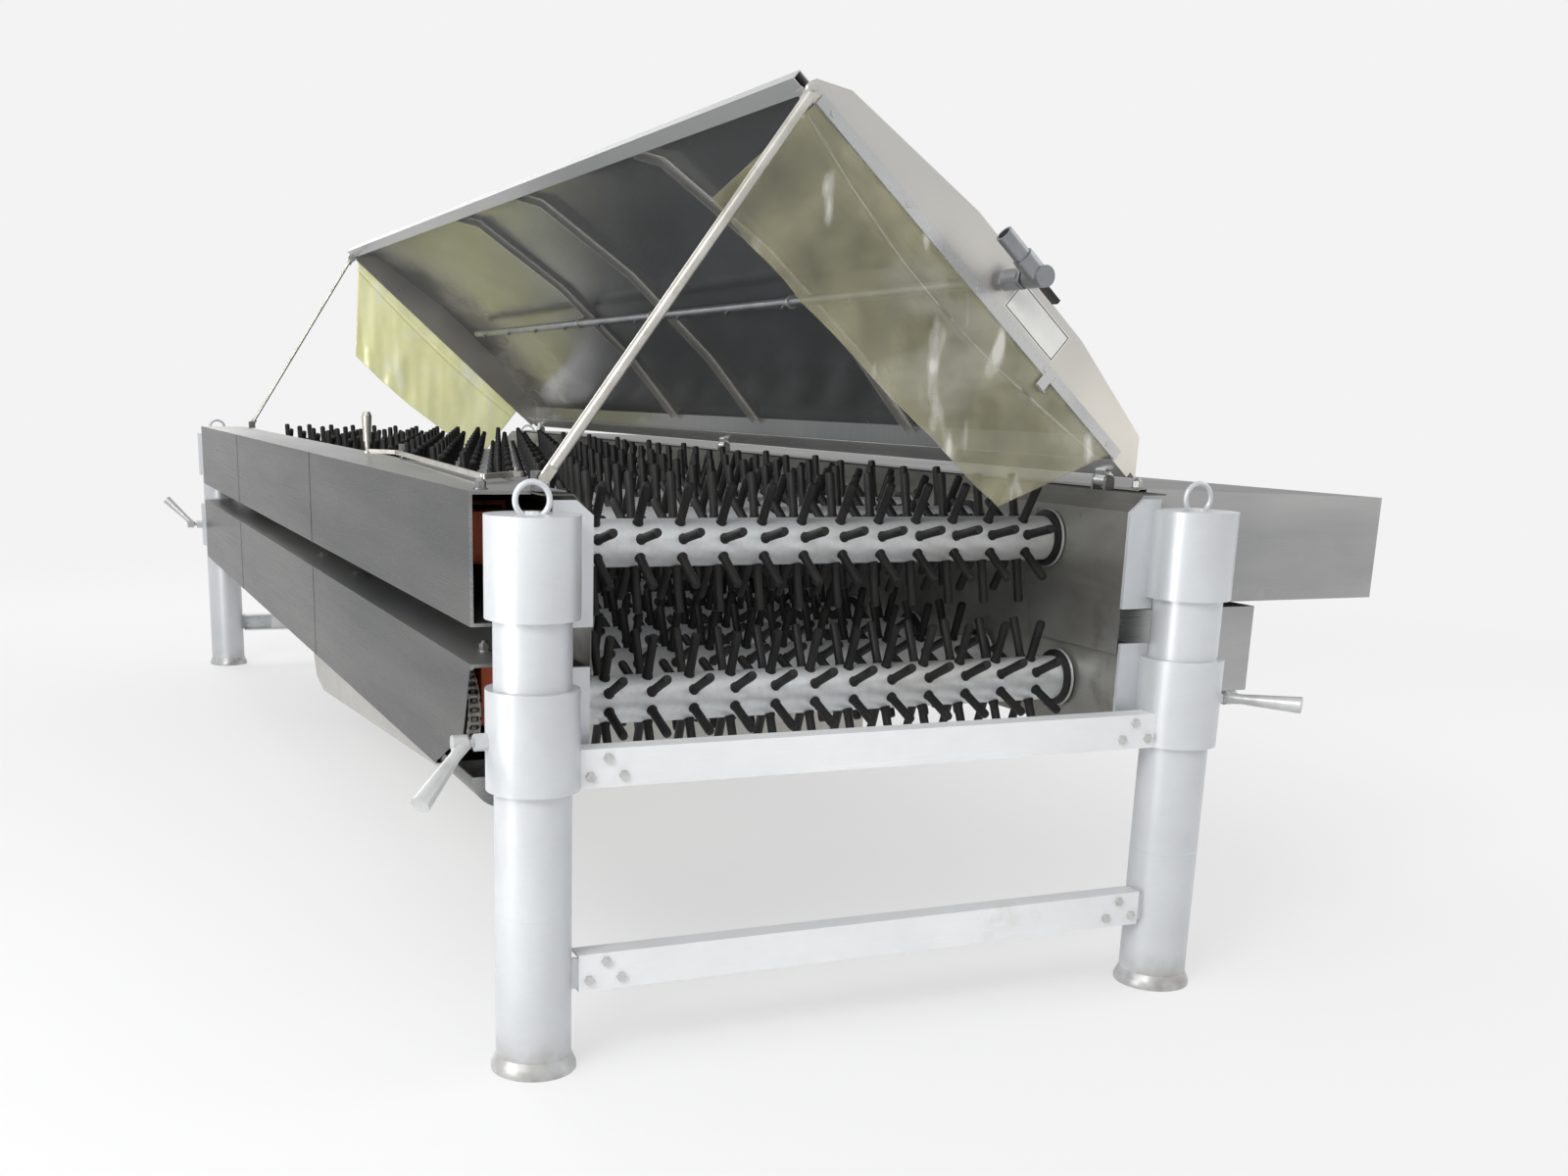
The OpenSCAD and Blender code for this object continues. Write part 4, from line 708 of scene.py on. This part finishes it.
# lean in degrees and drop go from the bar's end at u[0] to that at u[1]; bow bends the crease below the bar;
# flat, the sheet's size before it hangs, is not used
curtains = {
    "front": {"node": "front_curtain", "y": caseEnds[0] - 0.0014, "out": -1, "u": (-1.155, -0.095),
              "lean": (262, 242), "drop": (0.305, 0.325), "bow": 0.055, "flat": (1.06, 0.335),
              "finish": curtainFinish},
    "rear": {"node": "rear_curtain", "y": caseEnds[1] + 0.0014, "out": 1, "u": (-1.155, -0.125),
             "lean": (308, 272), "drop": (0.430, 0.290), "bow": 0.02, "flat": (1.03, 0.45),
             "finish": rearCurtainFinish}}
# what both sheets share: grid, strip above the bar's line, depth of the folds, crease and thickness
film = {"along": 150, "down": 96, "top": 0.02, "wave": 0.0205, "creaseAt": 0.034, "creaseWide": 0.006,
        "creaseDeep": 0.0048, "thick": 0.0016}


def curtainPiece(name, c):
    # point(a, b): from the bar at share a, down by r along the leaning direction, pushed out by soft folds
    a, b = np.meshgrid(np.linspace(0, 1, film["along"]), np.linspace(0, 1, film["down"]), indexing="ij")
    lean = np.radians(c["lean"][0] + (c["lean"][1] - c["lean"][0]) * a)
    drop = c["drop"][0] + (c["drop"][1] - c["drop"][0]) * a
    r = (drop + film["top"]) * b - film["top"]
    free = np.clip((r - film["top"]) / drop, 0, 1)
    folds = 0.5 - 0.5 * np.cos(2 * np.pi * (4.6 * a + 0.35 * np.sin(5.0 * a) + 0.22 * b))
    small = 0.5 + 0.5 * np.sin(2 * np.pi * (11.3 * a - 1.9 * b) + 2.0 * np.sin(7 * a))
    crease = np.exp(-((r - film["creaseAt"] - c["bow"] * np.sin(np.pi * a)) / film["creaseWide"]) ** 2)
    push = film["wave"] * free * (0.62 * folds + 0.14 * small) + film["creaseDeep"] * crease
    u = c["u"][0] + (c["u"][1] - c["u"][0]) * a + r * np.cos(lean)
    points = onHood(u, c["y"] + c["out"] * push, r * np.sin(lean))
    sheet = piece(name, points.reshape(-1, 3), gridFaces(*a.shape), "hood", "curtain_rubber", c["finish"],
                  (c["node"],), crease=80)
    wall = sheet.modifiers.new("thickness", "SOLIDIFY")
    wall.thickness = film["thick"]
    wall.offset = 0.0


curtainPiece("frontCurtainSheet", curtains["front"])
curtainPiece("rearCurtainSheet", curtains["rear"])
print("curtains hung")

# sign plate and curtain clip in the hood's own axes
plate = {"u": (-0.545, -0.365), "v": (0.036, 0.108), "thick": 0.0009, "border": 0.0022, "inset": 0.003,
         "lineThick": 0.0003, "seat": 0.0001}
clip = {"u": (-0.365, -0.339), "v": (-0.030, 0.024), "out": 0.0086, "thick": 0.0016, "lip": 0.012}


def hoodBlock(u0, u1, v0, v1, depth0, depth1):
    # box in the hood's own axes whose depths are counted outward from the front end plate
    corners = [(u, v, d) for d in (depth0, depth1) for u, v in ((u0, v0), (u1, v0), (u1, v1), (u0, v1))]
    u, v, d = np.array(corners).T
    faces = [[0, 1, 2, 3], [7, 6, 5, 4], [0, 4, 5, 1], [1, 5, 6, 2], [2, 6, 7, 3], [3, 7, 4, 0]]
    return onHood(u, caseEnds[0] - d, v), faces


def blankPlate(p):
    # plain sign plate with a dark line near its rim
    (u0, u1), (v0, v1) = p["u"], p["v"]
    t, n, w = p["thick"], p["inset"], p["border"]
    piece("signPlate", *hoodBlock(u0, u1, v0, v1, p["seat"], t), "hood", "hood_steel", made["sign"])
    sides = ((u0 + n, u1 - n, v0 + n, v0 + n + w), (u0 + n, u1 - n, v1 - n - w, v1 - n),
             (u0 + n, u0 + n + w, v0 + n, v1 - n), (u1 - n - w, u1 - n, v0 + n, v1 - n))
    lines = [hoodBlock(*side, t, t + p["lineThick"]) for side in sides]
    piece("signPlateLine", *joined(lines), "hood", "hood_steel", made["signLine"])


def bentClip(p):
    # upright plate on the curtain bar, with a lip along its foot
    (u0, u1), (v0, v1) = p["u"], p["v"]
    out, t = p["out"], p["thick"]
    parts = [hoodBlock(u0, u1, v0, v1, out, out + t), hoodBlock(u0, u1, v0, v0 + t, out, out + p["lip"])]
    piece("curtainClip", *joined(parts), "hood", "bar_steel", made["bar"])


blankPlate(plate)
bentClip(clip)
print("plate and clip fixed")

studio = {"floorColour": (0.86, 0.86, 0.86), "background": 0.895, "near": 2.2, "far": 8.0, "glow": 0.62,
          "sky": 1.0, "horizon": 0.74, "ground": 0.74, "strength": 0.76, "floorDrop": 0.0005,
          "rings": (0.0, 4.0, 12.0, 60.0)}
# name, place, aim, size, power
lamps = (("keyLamp", (-5.5, -6.5, 5.5), (0, -1.0, 0.8), 3.0, 330),
         ("fillLamp", (6.0, -3.0, 4.0), (0, 0, 0.9), 4.5, 90),
         ("rearLamp", (-2.0, 7.5, 5.0), (0, 0, 1.0), 4.0, 190),
         ("lowLamp", (-4.6, -3.2, 1.1), (0.3, -0.4, 1.5), 1.8, 90))


def raySum(tree):
    # 1 for what the camera sees, straight or through gloss and glass
    rays = tree.nodes.new("ShaderNodeLightPath")
    first = combine(tree, rays.outputs["Is Camera Ray"], rays.outputs["Is Glossy Ray"], "MAXIMUM")
    return combine(tree, first, rays.outputs["Is Transmission Ray"], "MAXIMUM")


def layFloor(s):
    # disc whose finish fades with distance from the machine into the plain background
    points, faces = revolved([(0.0, r) for r in s["rings"]], 96, (0, 0, -s["floorDrop"]), (0, 0, 1))
    mesh = bpy.data.meshes.new("studioFloor")
    mesh.from_pydata(points.tolist(), [], faces.tolist())
    floor = bpy.data.objects.new("studioFloor", mesh)
    bpy.context.scene.collection.objects.link(floor)
    finish, tree, shader = blank("studioFloorPaint")
    shader.inputs["Base Color"].default_value = (*s["floorColour"], 1)
    shader.inputs["Roughness"].default_value = 0.9
    glow = tree.nodes.new("ShaderNodeEmission")
    glow.inputs["Color"].default_value = (s["background"],) * 3 + (1,)
    place = tree.nodes.new("ShaderNodeTexCoord")
    far = tree.nodes.new("ShaderNodeVectorMath")
    far.operation = "LENGTH"
    tree.links.new(place.outputs["Object"], far.inputs[0])
    fade = spread(tree, far.outputs["Value"], s["near"], s["far"], s["glow"], 1.0)
    share = combine(tree, fade, raySum(tree))
    mix = tree.nodes.new("ShaderNodeMixShader")
    tree.links.new(share, mix.inputs[0])
    tree.links.new(shader.outputs[0], mix.inputs[1])
    tree.links.new(glow.outputs[0], mix.inputs[2])
    tree.links.new(mix.outputs[0], tree.nodes["Material Output"].inputs["Surface"])
    mesh.materials.append(finish)


def hangLights(s):
    # a soft sky that lights the machine, the plain background that shows, and the lamps
    world = bpy.data.worlds.new("studioSky")
    bpy.context.scene.world = world
    world.use_nodes = True
    tree = world.node_tree
    plain = tree.nodes["Background"]
    place = tree.nodes.new("ShaderNodeTexCoord")
    parts = tree.nodes.new("ShaderNodeSeparateXYZ")
    tree.links.new(place.outputs["Generated"], parts.inputs[0])
    ramp = tree.nodes.new("ShaderNodeValToRGB")
    tree.links.new(spread(tree, parts.outputs["Z"], -1, 1), ramp.inputs[0])
    stops = ((0.0, s["ground"]), (0.48, s["horizon"]), (0.56, s["horizon"] * 0.9), (0.8, s["sky"]),
             (1.0, s["sky"]))
    for k, (spot, tone) in enumerate(stops):
        stop = ramp.color_ramp.elements[k] if k < 2 else ramp.color_ramp.elements.new(spot)
        stop.position, stop.color = spot, (tone, tone, tone * 1.01, 1)
    tree.links.new(ramp.outputs[0], plain.inputs["Color"])
    plain.inputs["Strength"].default_value = s["strength"]
    back = tree.nodes.new("ShaderNodeBackground")
    back.inputs["Color"].default_value = (s["background"],) * 3 + (1,)
    mix = tree.nodes.new("ShaderNodeMixShader")
    tree.links.new(raySum(tree), mix.inputs[0])
    tree.links.new(plain.outputs[0], mix.inputs[1])
    tree.links.new(back.outputs[0], mix.inputs[2])
    tree.links.new(mix.outputs[0], tree.nodes["World Output"].inputs["Surface"])
    for name, spot, aim, size, power in lamps:
        light = bpy.data.lights.new(name, "AREA")
        light.size, light.energy = size, power
        lamp = bpy.data.objects.new(name, light)
        bpy.context.scene.collection.objects.link(lamp)
        lamp.location = spot
        lamp.rotation_euler = (Vector(aim) - Vector(spot)).to_track_quat("-Z", "Y").to_euler()


layFloor(studio)
hangLights(studio)
print("floor and lights set")

bpy.context.view_layer.update()
